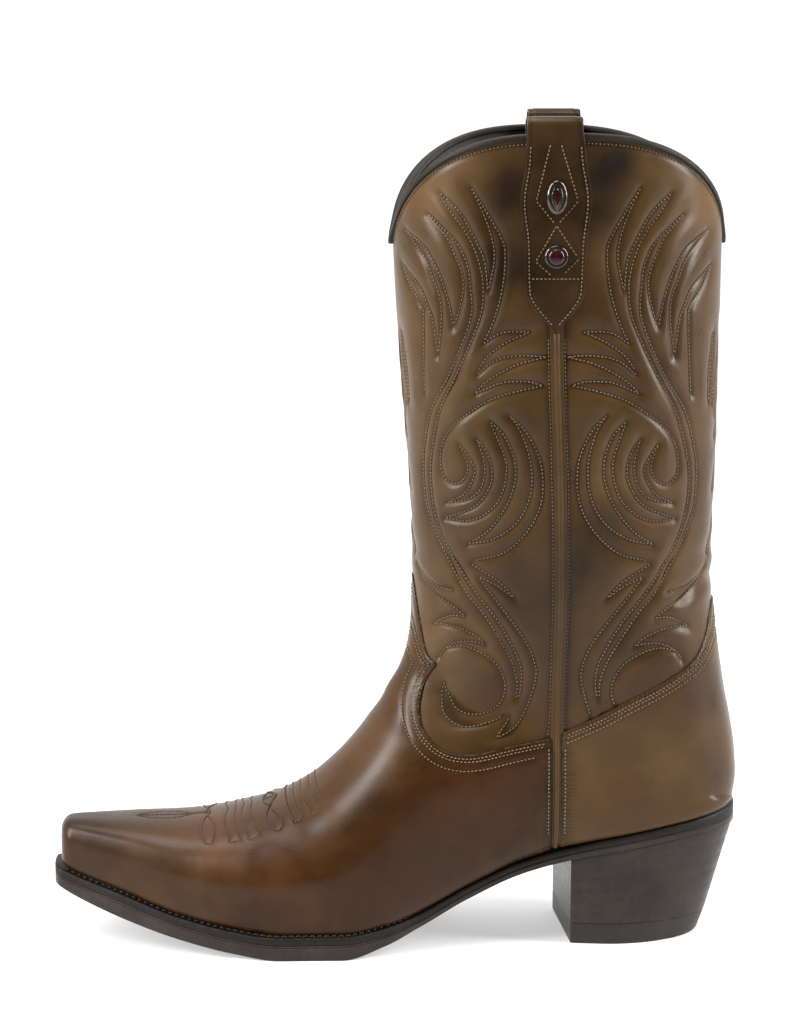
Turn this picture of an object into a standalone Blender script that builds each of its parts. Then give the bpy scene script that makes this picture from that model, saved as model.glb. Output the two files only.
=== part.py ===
"""A western boot for the left foot, standing empty: hollow upper, vamp and counter overlays, piped
side seams, bound collar, two pull straps with studs, insole, welt, outsole, heel stack and heel cap.

Frame: floor at z = 0, toe towards -X, outer side of the foot towards -Y. Sizes are in millimetres.
"""

import math

import bmesh
import bpy
import numpy as np

MM = 0.001

# Overall sizes
TOE_TIP = -149.6
HEEL_BACK = 145.6
ORIGIN_SHIFT = (1.8, 0.0)
WALL = 2.0
SEAT_GAP = 0.3
OVERLAY_GAP = 0.45
FEATHER_GAP = 0.5

# Toe and heel ends of the sole's outline: rounding length and superellipse exponent
TOE_ROUND = 5.0
TOE_POWER = 3.6
HEEL_ROUND = 50.0
HEEL_POWER = 2.3

# Sole, a row per station along the foot
SOLE_COLUMNS = ("x", "lateral", "medial", "bottom", "outsole", "welt", "rise", "margin")
SOLE = (
    (-150.0, 10.5, 12.0, 24.6, 4.4, 2.6, 2.4, 4.4),
    (-140.0, 15.0, 16.0, 19.6, 5.6, 2.8, 2.4, 4.4),
    (-120.0, 24.0, 25.0, 12.4, 7.0, 2.8, 2.4, 4.4),
    (-95.0, 34.5, 36.5, 5.8, 6.2, 2.8, 2.0, 4.4),
    (-72.0, 43.0, 44.5, 2.0, 6.2, 2.8, 1.4, 4.4),
    (-52.0, 47.5, 47.5, 0.0, 6.7, 2.8, 0.9, 4.4),
    (-26.0, 47.6, 43.5, 0.0, 6.8, 2.8, 0.8, 4.4),
    (-8.0, 41.5, 35.5, 4.0, 4.8, 2.7, 1.2, 4.2),
    (8.0, 33.5, 29.0, 10.3, 2.9, 2.5, 1.8, 3.4),
    (28.0, 28.0, 24.5, 20.4, 2.7, 2.4, 1.6, 2.8),
    (50.0, 26.0, 23.5, 30.2, 2.7, 2.4, 2.0, 2.6),
    (72.0, 28.5, 25.0, 37.2, 2.9, 2.4, 2.0, 2.4),
    (95.0, 30.4, 28.6, 41.8, 3.2, 2.6, 1.6, 2.4),
    (120.0, 28.7, 30.3, 45.8, 3.2, 3.0, 1.6, 2.4),
    (146.0, 27.0, 32.0, 48.4, 3.2, 4.4, 3.4, 2.4),
)

# Sections of the upper turn about an axis across the boot above the instep. The station counts
# millimetres along the toe up to 0, degrees of turn from 0 to 90, then millimetres up the shaft.
PIVOT_X = -90.0
PIVOT_Z = 154.0
TURN = 90.0
REACH_LEAST = 60.0
REACH_MOST = 320.0
HALVINGS = 44
UPPER_COLUMNS = ("station", "front", "lateral", "medial", "sway", "tail", "widest", "crown", "flank")
UPPER = (
    (-56.0, 104.6, 9.8, 9.8, 0.7, 0.0, 0.60, 3.0, 2.6),
    (-48.0, 104.2, 13.4, 13.4, 0.6, 0.0, 0.60, 3.0, 2.6),
    (-30.0, 104.2, 21.6, 22.2, 0.5, 0.0, 0.60, 2.8, 2.6),
    (-12.0, 104.2, 30.0, 31.2, 0.5, 0.0, 0.61, 2.5, 2.5),
    (0.0, 103.8, 35.0, 36.2, 0.5, 0.0, 0.62, 2.3, 2.4),
    (10.0, 102.5, 42.4, 43.4, 0.2, 0.0, 0.62, 2.1, 2.3),
    (20.0, 101.8, 44.4, 45.0, -0.8, 0.0, 0.60, 2.0, 2.2),
    (30.0, 100.8, 42.0, 39.6, -2.2, 0.0, 0.55, 1.9, 2.1),
    (40.0, 99.2, 37.6, 36.0, -2.4, 0.0, 0.47, 1.9, 2.0),
    (50.0, 98.0, 34.8, 34.0, -2.0, 0.0, 0.44, 1.9, 2.0),
    (60.0, 97.6, 33.4, 33.2, -0.8, 1.0, 0.48, 1.9, 2.1),
    (68.0, 98.6, 33.6, 33.6, 0.4, 2.5, 0.50, 1.95, 2.1),
    (80.0, 98.0, 37.0, 37.0, 0.4, 1.8, 0.50, 2.0, 2.1),
    (90.0, 96.2, 41.0, 41.0, 0.2, 1.0, 0.50, 2.0, 2.1),
    (130.0, 94.4, 45.6, 45.6, 0.0, 0.0, 0.49, 2.05, 2.1),
    (190.0, 90.0, 49.0, 49.0, 0.0, 0.0, 0.49, 2.1, 2.1),
    (240.0, 87.4, 50.0, 50.0, 0.0, 0.0, 0.49, 2.1, 2.1),
    (290.0, 86.4, 50.0, 50.0, 0.0, 0.0, 0.49, 2.1, 2.1),
)

# Back line of the upper, from the heel seat to the collar
BACK_COLUMNS = ("z", "x")
BACK = (
    (40.0, 141.0),
    (59.5, 143.2),
    (69.0, 144.3),
    (80.0, 143.7),
    (96.0, 141.4),
    (110.0, 138.2),
    (123.0, 135.4),
    (136.0, 133.6),
    (150.0, 132.9),
    (182.0, 133.5),
    (215.0, 134.4),
    (290.0, 134.9),
    (350.0, 136.0),
)

# Toe face of the upper: a flat snip with a small rounded brow
TOE_MARGIN = SOLE[0][-1]
HEEL_MARGIN = SOLE[-1][-1]
TOE_FACE = TOE_TIP + TOE_MARGIN
BROW = 3.2

# Collar: peaks at the sides, dips at front and back
COLLAR_PEAK = 345.6
COLLAR_DIP = 300.0
COLLAR_POWER = 2.6
COLLAR_BASE = 284.0
COLLAR_ROWS = (0.3, 0.6, 0.85, 1.0)

# Rows and columns of the upper's grid
TOE_BEHIND = (0.0, 0.12, 0.7, 2.0, 5.2)
TOE_STATIONS = (-42.0, -32.0, -21.0, -10.0)
TURN_STATIONS = (0.0, 5.0, 10.0, 15.0, 20.0, 25.0, 30.0, 35.0, 40.0, 45.0, 50.0, 54.5, 58.5, 62.0, 65.0, 66.8)
ANKLE_STATIONS = (70.0, 73.5, 77.5, 82.0, 86.5)
SHAFT_STATIONS = (91.5, 101.0, 117.0, 142.0, 175.0, 208.0)
COLUMNS = 26

# Overlays: edges drawn in side view and cut through both sides of the boot
OVERLAY = 1.1
OVERLAY_HEM = 2.2
HEEL_LIFT = 0.7
CUTTER_SIDE = 90.0
CUTTER_CLEAR = 20.0
COUNTER_PEAK = 6.0
VAMP_STATIONS = (-60.0, 105.0)
COUNTER_STATIONS = (44.0, 105.0)
SEAM_X = 65.2
SEAM_HALF = 1.8
VAMP_COLUMNS = ("x", "z")
VAMP_EDGE = (
    (6.1, 157.5),
    (7.0, 150.6),
    (9.4, 134.7),
    (11.7, 124.8),
    (15.4, 121.6),
    (11.9, 115.8),
    (9.0, 108.9),
    (7.7, 102.1),
    (9.2, 94.6),
    (14.3, 88.9),
    (21.4, 85.8),
    (31.0, 85.6),
    (46.3, 89.0),
)
VAMP_SEAM_TOP = 92.6
COUNTER_COLUMNS = ("x", "z")
COUNTER_EDGE = (
    (81.8, 101.5),
    (94.1, 108.1),
    (106.5, 114.0),
    (116.7, 119.4),
    (123.8, 124.6),
    (128.6, 133.0),
    (130.9, 141.5),
    (132.4, 147.0),
)
COUNTER_SEAM_TOP = 94.8

# Piping over the side seam, from below the strap to the sole
PIPING_COLUMNS = ("z", "x", "twist")
PIPING = (
    (40.0, 65.0, 0.0),
    (66.0, 65.2, 0.0),
    (95.0, 65.2, 0.0),
    (152.0, 65.6, 2.0),
    (196.0, 64.6, 5.0),
    (265.0, 62.1, 8.0),
)
PIPING_HIGH = 261.0
PIPING_LOW = 47.0
PIPING_WIDTH = 3.0
PIPING_HEIGHT = 1.5
PIPING_ROWS = 20
PIPING_CROWDING = 1.7
PIPING_PROFILE_COLUMNS = ("across", "height")
PIPING_PROFILE = ((-0.5, 0.0), (-0.4, 0.6), (0.0, 1.0), (0.4, 0.6), (0.5, 0.0))

# Collar binding folded over the top edge
BINDING_GAP = 0.35
BINDING_FACE = 0.9
BINDING_TOP = 0.7
BINDING_BAND = 3.4
BINDING_BEAK = 1.2
BINDING_BEAK_SPAN = 6.0
BINDING_ROUND = 0.5
BINDING_STEEPEST = 1.2

# Pull straps: a row per height of the outer leg
STRAP_COLUMNS = ("z", "front", "back")
STRAP = (
    (266.0, 0.6, 0.6),
    (283.0, 12.2, 12.0),
    (302.0, 12.8, 12.6),
    (319.0, 14.6, 14.3),
    (336.0, 12.6, 11.8),
    (353.4, 12.2, 10.4),
)
STRAP_X = 61.4
STRAP_TWIST = 8.0
STRAP_TOP = 353.4
STRAP_THICK = 1.6
STRAP_STAND = 2.8
STRAP_REST = 0.6
STRAP_INNER_END = 306.0
STRAP_SPRING = 343.0
STRAP_ARCH_POWER = 5.0
STRAP_LEAN_POWER = 1.5
STRAP_ACROSS = 5
STRAP_TIP_ROWS = (266.0, 271.0, 277.0)
STRAP_SHOULDER = 283.0
STRAP_OUTER_ROWS = 7
STRAP_ARCH_TURNS = (20.0, 36.0, 50.0, 65.0, 90.0, 115.0, 130.0, 144.0, 160.0)
STRAP_INNER_ROWS = 5

# Studs on each strap
STUD_COLUMNS = ("z", "length", "width", "height")
STUDS = {
    "oval_stud": (321.0, 14.0, 8.6, 2.6),
    "round_stud": (297.0, 9.8, 9.8, 2.6),
}
STUD_SIDES = 14
STUD_PROFILE_COLUMNS = ("scale", "lift")
STUD_PROFILE = ((1.0, 0.0), (1.0, 0.35), (0.86, 0.7), (0.5, 0.95), (0.15, 1.0))

# Rows of the sole's pieces, closer at toe and heel, and the rounding of the outsole's lower edge
SOLE_ROWS = 38
INSOLE_ROWS = 34
NEAR_TOE = (0.0002, 0.0015, 0.004, 0.009, 0.016)
NEAR_HEEL = (0.9996, 0.996, 0.988, 0.975, 0.955)
EVEN_FROM = 0.03
EVEN_TO = 0.94
EDGE_INSET = 0.5
EDGE_HEIGHT = 0.7
WELT_END_SHARE = 0.3
WELT_END_MARGINS = 2.5

# Insole, heel and heel cap
INSOLE = 3.0
INSOLE_CLEAR = 1.4
HEEL_INSET = 0.6
BREAST_X = 70.4
BREAST_YAW = 3.9
CAP = 9.2
HEEL_TOE_IN = 0.80
HEEL_WAIST = 0.96
HEEL_WAIST_POWER = 1.6
HEEL_FULL = 40.0
HEEL_LEVELS = (0.0, 0.25, 0.5, 0.75, 1.0)
HEEL_SHARES = (0.0, 0.2, 0.4, 0.58, 0.72, 0.83, 0.91, 0.96, 0.99, 0.9995)


def curve(columns, rows, name):
    """A smooth function of the table's first column that passes through one of its other columns."""
    knots = np.array([row[0] for row in rows])
    values = np.array([row[columns.index(name)] for row in rows])
    steps = np.diff(knots)
    slopes = np.diff(values) / steps
    turns = np.empty_like(values)
    turns[0] = slopes[0]
    turns[-1] = slopes[-1]
    before, after = slopes[:-1], slopes[1:]
    same = before * after > 0
    safe = np.where(same, before + after, 1.0)
    turns[1:-1] = np.where(same, 2.0 * before * after / safe, 0.0)

    def at(place):
        place = np.clip(place, knots[0], knots[-1])
        i = np.clip(np.searchsorted(knots, place, side="right") - 1, 0, len(steps) - 1)
        h = steps[i]
        f = (place - knots[i]) / h
        rise = f * f * (3.0 - 2.0 * f)
        lean_in = f * (1.0 - f) ** 2 * h * turns[i]
        lean_out = -f * f * (1.0 - f) * h * turns[i + 1]
        return values[i] + (values[i + 1] - values[i]) * rise + lean_in + lean_out

    return at


sole = {name: curve(SOLE_COLUMNS, SOLE, name) for name in SOLE_COLUMNS[1:]}
upper = {name: curve(UPPER_COLUMNS, UPPER, name) for name in UPPER_COLUMNS[1:]}
back_line = curve(BACK_COLUMNS, BACK, "x")


def sole_edge(x, inset):
    """Middle and half width of the sole's outline at x, drawn in by the inset."""
    middle = (sole["medial"](x) - sole["lateral"](x)) / 2
    half = (sole["medial"](x) + sole["lateral"](x)) / 2 - inset
    toe = np.clip((TOE_TIP + inset + TOE_ROUND - x) / TOE_ROUND, 0.0, 1.0)
    heel = np.clip((x - (HEEL_BACK - HEEL_ROUND)) / (HEEL_ROUND - inset), 0.0, 1.0)
    toe_round = (1.0 - toe**TOE_POWER) ** (1.0 / TOE_POWER)
    heel_round = (1.0 - heel**HEEL_POWER) ** (1.0 / HEEL_POWER)
    return middle, half * toe_round * heel_round


def outsole_top(x):
    return sole["bottom"](x) + sole["outsole"](x)


def welt_edge_top(x):
    return outsole_top(x) + SEAT_GAP + sole["welt"](x)


def feather_height(x):
    """Top of the welt beside the upper."""
    return welt_edge_top(x) + sole["rise"](x)


def feather_edge(x):
    return sole_edge(x, sole["margin"](x))


def section_frame(station):
    """Start of a section's plane and its direction in the boot's side view."""
    start_x = PIVOT_X + np.minimum(station, 0.0)
    start_z = PIVOT_Z + np.maximum(station - TURN, 0.0)
    angle = np.radians(TURN - np.clip(station, 0.0, TURN))
    return start_x, start_z, np.cos(angle), -np.sin(angle)


def section_reach(station):
    """Distance along a section's plane to the feather line under the foot or to the back line."""
    x, z, along_x, along_z = section_frame(station)
    low = np.full_like(station, REACH_LEAST)
    high = np.full_like(station, REACH_MOST)
    for _ in range(HALVINGS):
        reach = (low + high) / 2
        at_x = x + reach * along_x
        at_z = z + reach * along_z
        outside = (at_z < feather_height(at_x) + FEATHER_GAP) | (at_x > back_line(at_z))
        high = np.where(outside, reach, high)
        low = np.where(outside, low, reach)
    return (low + high) / 2


def toe_depth(station, length):
    """Share of a rounding length still ahead of a section, 1 at the toe face and 0 behind it."""
    return np.clip(1.0 - (PIVOT_X + station - TOE_FACE) / length, 0.0, 1.0)


def section_span(station):
    """Nearest and farthest reach of a section from its start."""
    brow = BROW * (1.0 - np.sqrt(1.0 - toe_depth(station, BROW) ** 2))
    return upper["front"](station) + brow, section_reach(station)


def toe_taper(station):
    """How the sections close in plan on the toe face."""
    return (1.0 - toe_depth(station, TOE_ROUND) ** TOE_POWER) ** (1.0 / TOE_POWER)


def upper_point(station, turn):
    """Outer surface of the upper. The turn runs from -1, outer edge, over the top at 0 to 1, inner edge."""
    station, turn = np.broadcast_arrays(np.asarray(station, float), np.asarray(turn, float))
    x, z, along_x, along_z = section_frame(station)
    near, far = section_span(station)
    edge_x = x + far * along_x
    edge_middle, edge_half = feather_edge(edge_x)
    under = at_foot(station)
    side = np.where(turn < 0.0, -1.0, 1.0)
    width = np.where(turn < 0.0, upper["lateral"](station), upper["medial"](station))
    width = width * toe_taper(station)
    middle = upper["sway"](station)
    widest = upper["widest"](station)
    quarter = np.abs(turn) * math.pi
    over = np.clip(quarter, 0.0, math.pi / 2)
    below = np.clip(quarter - math.pi / 2, 0.0, math.pi / 2)
    crown = 2.0 / upper["crown"](station)
    flank = 2.0 / upper["flank"](station)
    share = widest * (1.0 - np.cos(over) ** crown) + (1.0 - widest) * np.sin(below) ** flank
    edge_y = np.where(under, edge_middle + side * edge_half, upper["tail"](station))
    side_y = middle + side * width
    low_y = edge_y + (side_y - edge_y) * np.abs(np.cos(below)) ** flank
    y = np.where(quarter <= math.pi / 2, middle + side * width * np.sin(over) ** crown, low_y)
    reach = near + (far - near) * share
    return np.stack([x + reach * along_x, y, z + reach * along_z], axis=-1)


def heel_station():
    """Station whose plane meets the corner of the feather line and the back line."""
    low, high = TURN_STATIONS[-1], ANKLE_STATIONS[0]
    for _ in range(HALVINGS):
        middle = (low + high) / 2
        x, z, along_x, along_z = section_frame(np.array([middle]))
        reach = section_reach(np.array([middle]))
        corner = back_line(z + reach * along_z) - (x + reach * along_x)
        low, high = (middle, high) if corner[0] > 0.01 else (low, middle)
    return (low + high) / 2


HEEL_STATION = heel_station()


def at_foot(station):
    return station < HEEL_STATION


def collar_height(turn):
    """Top of the upper at the collar: scalloped, high at the sides and low at front and back."""
    across = np.abs(np.cos(np.abs(turn) * math.pi))
    arch = np.sqrt(np.clip(1.0 - across**COLLAR_POWER, 0.0, 1.0))
    return COLLAR_DIP + (COLLAR_PEAK - COLLAR_DIP) * arch


def upper_rows(turns):
    """Stations of the upper's rows, from behind the toe face to the collar, for each of the turns."""
    rows = [np.full_like(turns, TOE_FACE - PIVOT_X + behind) for behind in TOE_BEHIND]
    rows += [np.full_like(turns, s) for s in TOE_STATIONS + TURN_STATIONS]
    rows.append(np.full_like(turns, HEEL_STATION - 0.3))
    rows.append(np.full_like(turns, HEEL_STATION))
    rows += [np.full_like(turns, s) for s in ANKLE_STATIONS + SHAFT_STATIONS]
    for share in (0.0,) + COLLAR_ROWS:
        height = COLLAR_BASE + (collar_height(turns) - COLLAR_BASE) * share
        rows.append(TURN + height - PIVOT_Z)
    return rows


def material(name, colour, roughness, metallic=0.0):
    made = bpy.data.materials.new(name)
    made.use_nodes = True
    shader = made.node_tree.nodes["Principled BSDF"]
    shader.inputs["Base Color"].default_value = (*colour, 1.0)
    shader.inputs["Roughness"].default_value = roughness
    shader.inputs["Metallic"].default_value = metallic
    return made


def mesh_object(name, points, faces, made_of, sharp=40.0, closed=True):
    """One object from points in millimetres, welded; a closed one is turned to face outwards."""
    moved = np.asarray(points, float) + (ORIGIN_SHIFT[0], ORIGIN_SHIFT[1], 0.0)
    mesh = bpy.data.meshes.new(name)
    mesh.from_pydata((moved * MM).tolist(), [], faces)
    build = bmesh.new()
    build.from_mesh(mesh)
    bmesh.ops.remove_doubles(build, verts=build.verts, dist=2e-6)
    bmesh.ops.dissolve_degenerate(build, edges=build.edges, dist=2e-6)
    if closed:
        bmesh.ops.recalc_face_normals(build, faces=build.faces)
    build.to_mesh(mesh)
    build.free()
    mesh.materials.append(made_of)
    mesh.shade_smooth()
    mesh.set_sharp_from_angle(angle=math.radians(sharp))
    made = bpy.data.objects.new(name, mesh)
    parts.objects.link(made)
    return made


def grid_faces(rows, columns, first=0, wrap=False):
    """Quads between neighbouring rows of points."""
    faces = []
    for i in range(rows - 1):
        for j in range(columns if wrap else columns - 1):
            k = (j + 1) % columns
            a = first + i * columns
            b = a + columns
            faces.append((a + j, a + k, b + k, b + j))
    return faces


def loft(name, rings, made_of, sharp=40.0):
    """A solid through closed rings of points, capped at both ends."""
    count = len(rings[0])
    faces = grid_faces(len(rings), count, wrap=True)
    faces.append(tuple(range(count)))
    last = (len(rings) - 1) * count
    faces.append(tuple(range(last + count - 1, last - 1, -1)))
    return mesh_object(name, np.concatenate(rings), faces, made_of, sharp)


def make_upper():
    turns = np.linspace(-1.0, 1.0, COLUMNS + 1)
    rows = [upper_point(stations, turns) for stations in upper_rows(turns)]
    faces = [face[::-1] for face in grid_faces(len(rows), COLUMNS + 1)]
    made = mesh_object("upper", np.concatenate(rows), faces, leather, 50.0, closed=False)
    shell = made.modifiers.new("wall", "SOLIDIFY")
    shell.thickness = WALL * MM
    shell.offset = -1.0
    shell.use_even_offset = True
    return made


def side_turn(x, z):
    """Station and turn of the upper's point that is seen at x and z from the side."""
    x, z = np.asarray(x, float), np.asarray(z, float)
    angle = np.degrees(np.arctan2(PIVOT_Z - z, x - PIVOT_X))
    low = np.where(x <= PIVOT_X, x - PIVOT_X, TURN - angle)
    station = np.where(z >= PIVOT_Z, TURN + z - PIVOT_Z, low)
    start_x, start_z, along_x, along_z = section_frame(station)
    reach = (x - start_x) * along_x + (z - start_z) * along_z
    near, far = section_span(station)
    share = np.clip((reach - near) / (far - near), 0.0, 1.0)
    widest = upper["widest"](station)
    over = np.clip(1.0 - share / widest, 0.0, 1.0) ** (upper["crown"](station) / 2)
    below = np.clip((share - widest) / (1.0 - widest), 0.0, 1.0) ** (upper["flank"](station) / 2)
    turn = np.where(share < widest, np.arccos(over), math.pi / 2 + np.arcsin(below)) / math.pi
    return station, turn


def side_point(x, z, side):
    """Point of the upper's outer surface seen at x and z, on the outer (-1) or inner (1) side."""
    station, turn = side_turn(x, z)
    return upper_point(station, side * turn)


def upper_normal(station, turn):
    """Outward direction of the upper's surface, away from its ends."""
    step_s, step_t = 0.2, 0.002
    across = upper_point(station, turn + step_t) - upper_point(station, turn - step_t)
    along = upper_point(station + step_s, turn) - upper_point(station - step_s, turn)
    normal = np.cross(along, across)
    return normal / np.linalg.norm(normal, axis=-1, keepdims=True)


def prism(name, outline):
    """Cutter: an outline in side view, drawn out across the boot."""
    ring = np.array(outline)
    rings = [np.column_stack([ring[:, 0], np.full(len(ring), y), ring[:, 1]]) for y in (-CUTTER_SIDE, CUTTER_SIDE)]
    made = loft(name, rings, leather)
    parts.objects.unlink(made)
    cutters.objects.link(made)
    made.hide_render = True
    made.display_type = "WIRE"
    return made


def hem_turn(station):
    """Turn at which a section is one hem above its lower edge; the closed sections have no hem."""
    near, far = section_span(station)
    widest = upper["widest"](station)
    share = (1.0 - OVERLAY_HEM / (far - near) - widest) / (1.0 - widest)
    below = np.arcsin(np.clip(share, 0.0, 1.0) ** (upper["flank"](station) / 2))
    return np.where(at_foot(station), 0.5 + below / math.pi, 1.0)


def overlay(name, outline, stations_kept):
    """A panel laid over the upper: the upper's own grid, stood off, thickened and cut to its outline."""
    turns = np.linspace(-1.0, 1.0, COLUMNS + 1)
    low, high = stations_kept
    stations = [row[0] for row in upper_rows(turns) if low <= row[0] <= high and np.ptp(row) == 0.0]
    stations = [s + HEEL_LIFT if s == HEEL_STATION else s for s in stations]
    rows = []
    for station in stations:
        limit = hem_turn(np.array(station))
        rows.append(upper_point(station, np.clip(turns, -limit, limit)))
    faces = [face[::-1] for face in grid_faces(len(rows), COLUMNS + 1)]
    made = mesh_object(name, np.concatenate(rows), faces, leather, 50.0, closed=False)
    lift = made.modifiers.new("stand_off", "DISPLACE")
    lift.strength = OVERLAY_GAP * MM
    lift.mid_level = 0.0
    shell = made.modifiers.new("thickness", "SOLIDIFY")
    shell.thickness = OVERLAY * MM
    shell.offset = 1.0
    shell.use_even_offset = True
    cut = made.modifiers.new("outline", "BOOLEAN")
    cut.operation = "INTERSECT"
    cut.solver = "EXACT"
    cut.object = prism(name + "_outline", outline)
    return made


def make_vamp():
    seam = SEAM_X - SEAM_HALF
    ahead = TOE_TIP - CUTTER_CLEAR
    outline = list(VAMP_EDGE)
    outline += [(seam, VAMP_SEAM_TOP), (seam, 0.0), (ahead, 0.0), (ahead, VAMP_EDGE[0][1])]
    return overlay("vamp", outline, VAMP_STATIONS)


def make_counter():
    seam = SEAM_X + SEAM_HALF
    behind = HEEL_BACK + CUTTER_CLEAR
    outline = [(seam, COUNTER_SEAM_TOP)] + list(COUNTER_EDGE)
    outline += [(behind, COUNTER_EDGE[-1][1] + COUNTER_PEAK), (behind, 0.0), (seam, 0.0)]
    return overlay("counter", outline, COUNTER_STATIONS)


def make_piping(name, side):
    z = PIPING_LOW + (PIPING_HIGH - PIPING_LOW) * np.linspace(0.0, 1.0, PIPING_ROWS) ** PIPING_CROWDING
    x = curve(PIPING_COLUMNS, PIPING, "x")(z)
    if side > 0:
        x = x + curve(PIPING_COLUMNS, PIPING, "twist")(z)
    station, turn = side_turn(x, z)
    middle = upper_point(station, side * turn)
    normal = upper_normal(station, side * turn)
    along = np.gradient(middle, axis=0)
    along /= np.linalg.norm(along, axis=1, keepdims=True)
    across = np.cross(normal, along)
    rings = []
    for p, n, a in zip(middle, normal, across):
        ring = [p + a * w * PIPING_WIDTH + n * (OVERLAY_GAP + h * PIPING_HEIGHT) for w, h in PIPING_PROFILE]
        rings.append(np.array(ring))
    return loft(name, rings, leather, 60.0)


def make_binding():
    turns = np.linspace(-1.0, 1.0, COLUMNS + 1)[:-1]
    top = collar_height(turns)
    step = 1e-3
    width = np.linalg.norm(
        upper_point(TURN + top - PIVOT_Z, turns + step) - upper_point(TURN + top - PIVOT_Z, turns - step),
        axis=1,
    )
    slope = (collar_height(turns + step) - collar_height(turns - step)) / width
    stretch = np.sqrt(1.0 + np.minimum(slope**2, BINDING_STEEPEST))
    rings = []
    for turn, high, long in zip(turns, top, stretch):
        band = BINDING_BAND * long
        cap = BINDING_TOP * long
        gap = BINDING_GAP * long
        foot = upper_point(TURN + high - band - PIVOT_Z, turn)
        head = upper_point(TURN + high - PIVOT_Z, turn)
        out = upper_normal(np.array(TURN + high - PIVOT_Z), np.array(turn))
        out = out * (1.0, 1.0, 0.0)
        out /= np.linalg.norm(out)
        beak = BINDING_BEAK * math.exp(-((head[1] / BINDING_BEAK_SPAN) ** 2))
        face = BINDING_GAP + BINDING_FACE + beak
        inner = WALL + BINDING_GAP
        rise = np.array((0.0, 0.0, 1.0))
        rings.append(np.array([
            foot + out * BINDING_GAP,
            foot + out * face,
            head + out * face,
            head + out * (face - BINDING_ROUND) + rise * (gap + cap),
            head - out * (inner + BINDING_FACE - BINDING_ROUND) + rise * (gap + cap),
            head - out * (inner + BINDING_FACE),
            foot - out * (inner + BINDING_FACE),
            foot - out * inner,
            head - out * inner + rise * gap,
            head + out * BINDING_GAP + rise * gap,
        ]))
    count = len(rings[0])
    faces = grid_faces(len(rings), count, wrap=True)
    last = (len(rings) - 1) * count
    faces += [(last + j, last + (j + 1) % count, (j + 1) % count, j) for j in range(count)]
    return mesh_object("collar_binding", np.concatenate(rings), faces, binding_leather, 50.0)


def strap_stand(z):
    """Distance of a strap's inner face from the upper, growing from its tip to the collar."""
    share = np.clip((z - STRAP[0][0]) / (STRAP_SPRING - STRAP[0][0]), 0.0, 1.0)
    return STRAP_REST + (STRAP_STAND - STRAP_REST) * share**STRAP_LEAN_POWER


def strap_path(x, side):
    """Inner face of a strap at one x: up the outside, over the collar and down the inside."""
    path = []
    leg = np.linspace(STRAP_SHOULDER, STRAP_SPRING, STRAP_OUTER_ROWS)
    for z in np.concatenate([STRAP_TIP_ROWS, leg]):
        off = strap_stand(z)
        wall = abs(side_point(x, z, side)[1])
        path.append((wall + off, z))
    wall = abs(side_point(x, STRAP_SPRING, side)[1])
    middle = wall - WALL / 2
    span = WALL / 2 + STRAP_STAND
    rise = STRAP_TOP - STRAP_THICK - STRAP_SPRING
    for degrees in STRAP_ARCH_TURNS:
        c, v = math.cos(math.radians(degrees)), math.sin(math.radians(degrees))
        bend = 2.0 / STRAP_ARCH_POWER
        path.append((
            middle + span * math.copysign(abs(c) ** bend, c),
            STRAP_SPRING + rise * v**bend,
        ))
    for z in np.linspace(STRAP_SPRING, STRAP_INNER_END, STRAP_INNER_ROWS):
        share = (z - STRAP_INNER_END) / (STRAP_SPRING - STRAP_INNER_END)
        off = STRAP_REST + (STRAP_STAND - STRAP_REST) * share
        wall = abs(side_point(x, z, side)[1])
        path.append((wall - WALL - off, z))
    return np.array(path)


def strap_middle(side):
    return STRAP_X + (STRAP_TWIST if side > 0 else 0.0)


def make_strap(name, side):
    front = curve(STRAP_COLUMNS, STRAP, "front")
    back = curve(STRAP_COLUMNS, STRAP, "back")
    centre = strap_middle(side)
    guide = strap_path(centre, side)
    half = len(guide)
    lines = []
    for across in np.linspace(-1.0, 1.0, STRAP_ACROSS):
        inner = []
        for i in range(half):
            z = guide[i, 1]
            past_top = i > half - 2 * STRAP_INNER_ROWS
            width = front(STRAP_TOP) if across < 0 else back(STRAP_TOP)
            if not past_top:
                width = front(z) if across < 0 else back(z)
            x = centre + across * width
            y, height = strap_path(x, side)[i]
            inner.append((x, y, height))
        inner = np.array(inner)
        along = np.gradient(inner[:, 1:], axis=0)
        along /= np.linalg.norm(along, axis=1, keepdims=True)
        outer = inner.copy()
        outer[:, 1] += along[:, 1] * STRAP_THICK
        outer[:, 2] -= along[:, 0] * STRAP_THICK
        lines.append((inner, outer))
    rings = []
    for i in range(half):
        ring = [inner[i] for inner, outer in lines] + [outer[i] for inner, outer in lines[::-1]]
        ring = np.array(ring)
        ring[:, 1] *= side
        rings.append(ring)
    return loft(name, rings, leather, 45.0)


def make_stud(name, side, row):
    z, length, width, height = row
    x = strap_middle(side)
    heights = z + length / 2 * np.array((-1.0, 0.0, 1.0))
    off = strap_stand(heights)
    walls = np.array([abs(side_point(x, h, side)[1]) for h in heights])
    seat = walls + off + STRAP_THICK + SEAT_GAP
    lean = (seat[2] - seat[0]) / length
    base = max(seat[1], (seat[0] + seat[2]) / 2)
    rings = []
    for scale, lift in STUD_PROFILE:
        angles = np.arange(STUD_SIDES) * 2.0 * math.pi / STUD_SIDES
        up = np.sin(angles) * length / 2 * scale
        ring_y = base + lift * height + up * lean
        rings.append(np.column_stack([x + np.cos(angles) * width / 2 * scale, side * ring_y, z + up]))
    return loft(name, rings, metal, 50.0)


def along_sole(toe_inset, heel_inset, count):
    """Stations from toe to heel of an outline drawn in by the insets, closer at both ends."""
    start = TOE_TIP + toe_inset
    span = HEEL_BACK - heel_inset - start
    share = np.linspace(0.0, 1.0, count)
    inner = share[(share > EVEN_FROM) & (share < EVEN_TO)]
    return start + span * np.sort(np.concatenate([NEAR_TOE, inner, NEAR_HEEL]))


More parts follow.
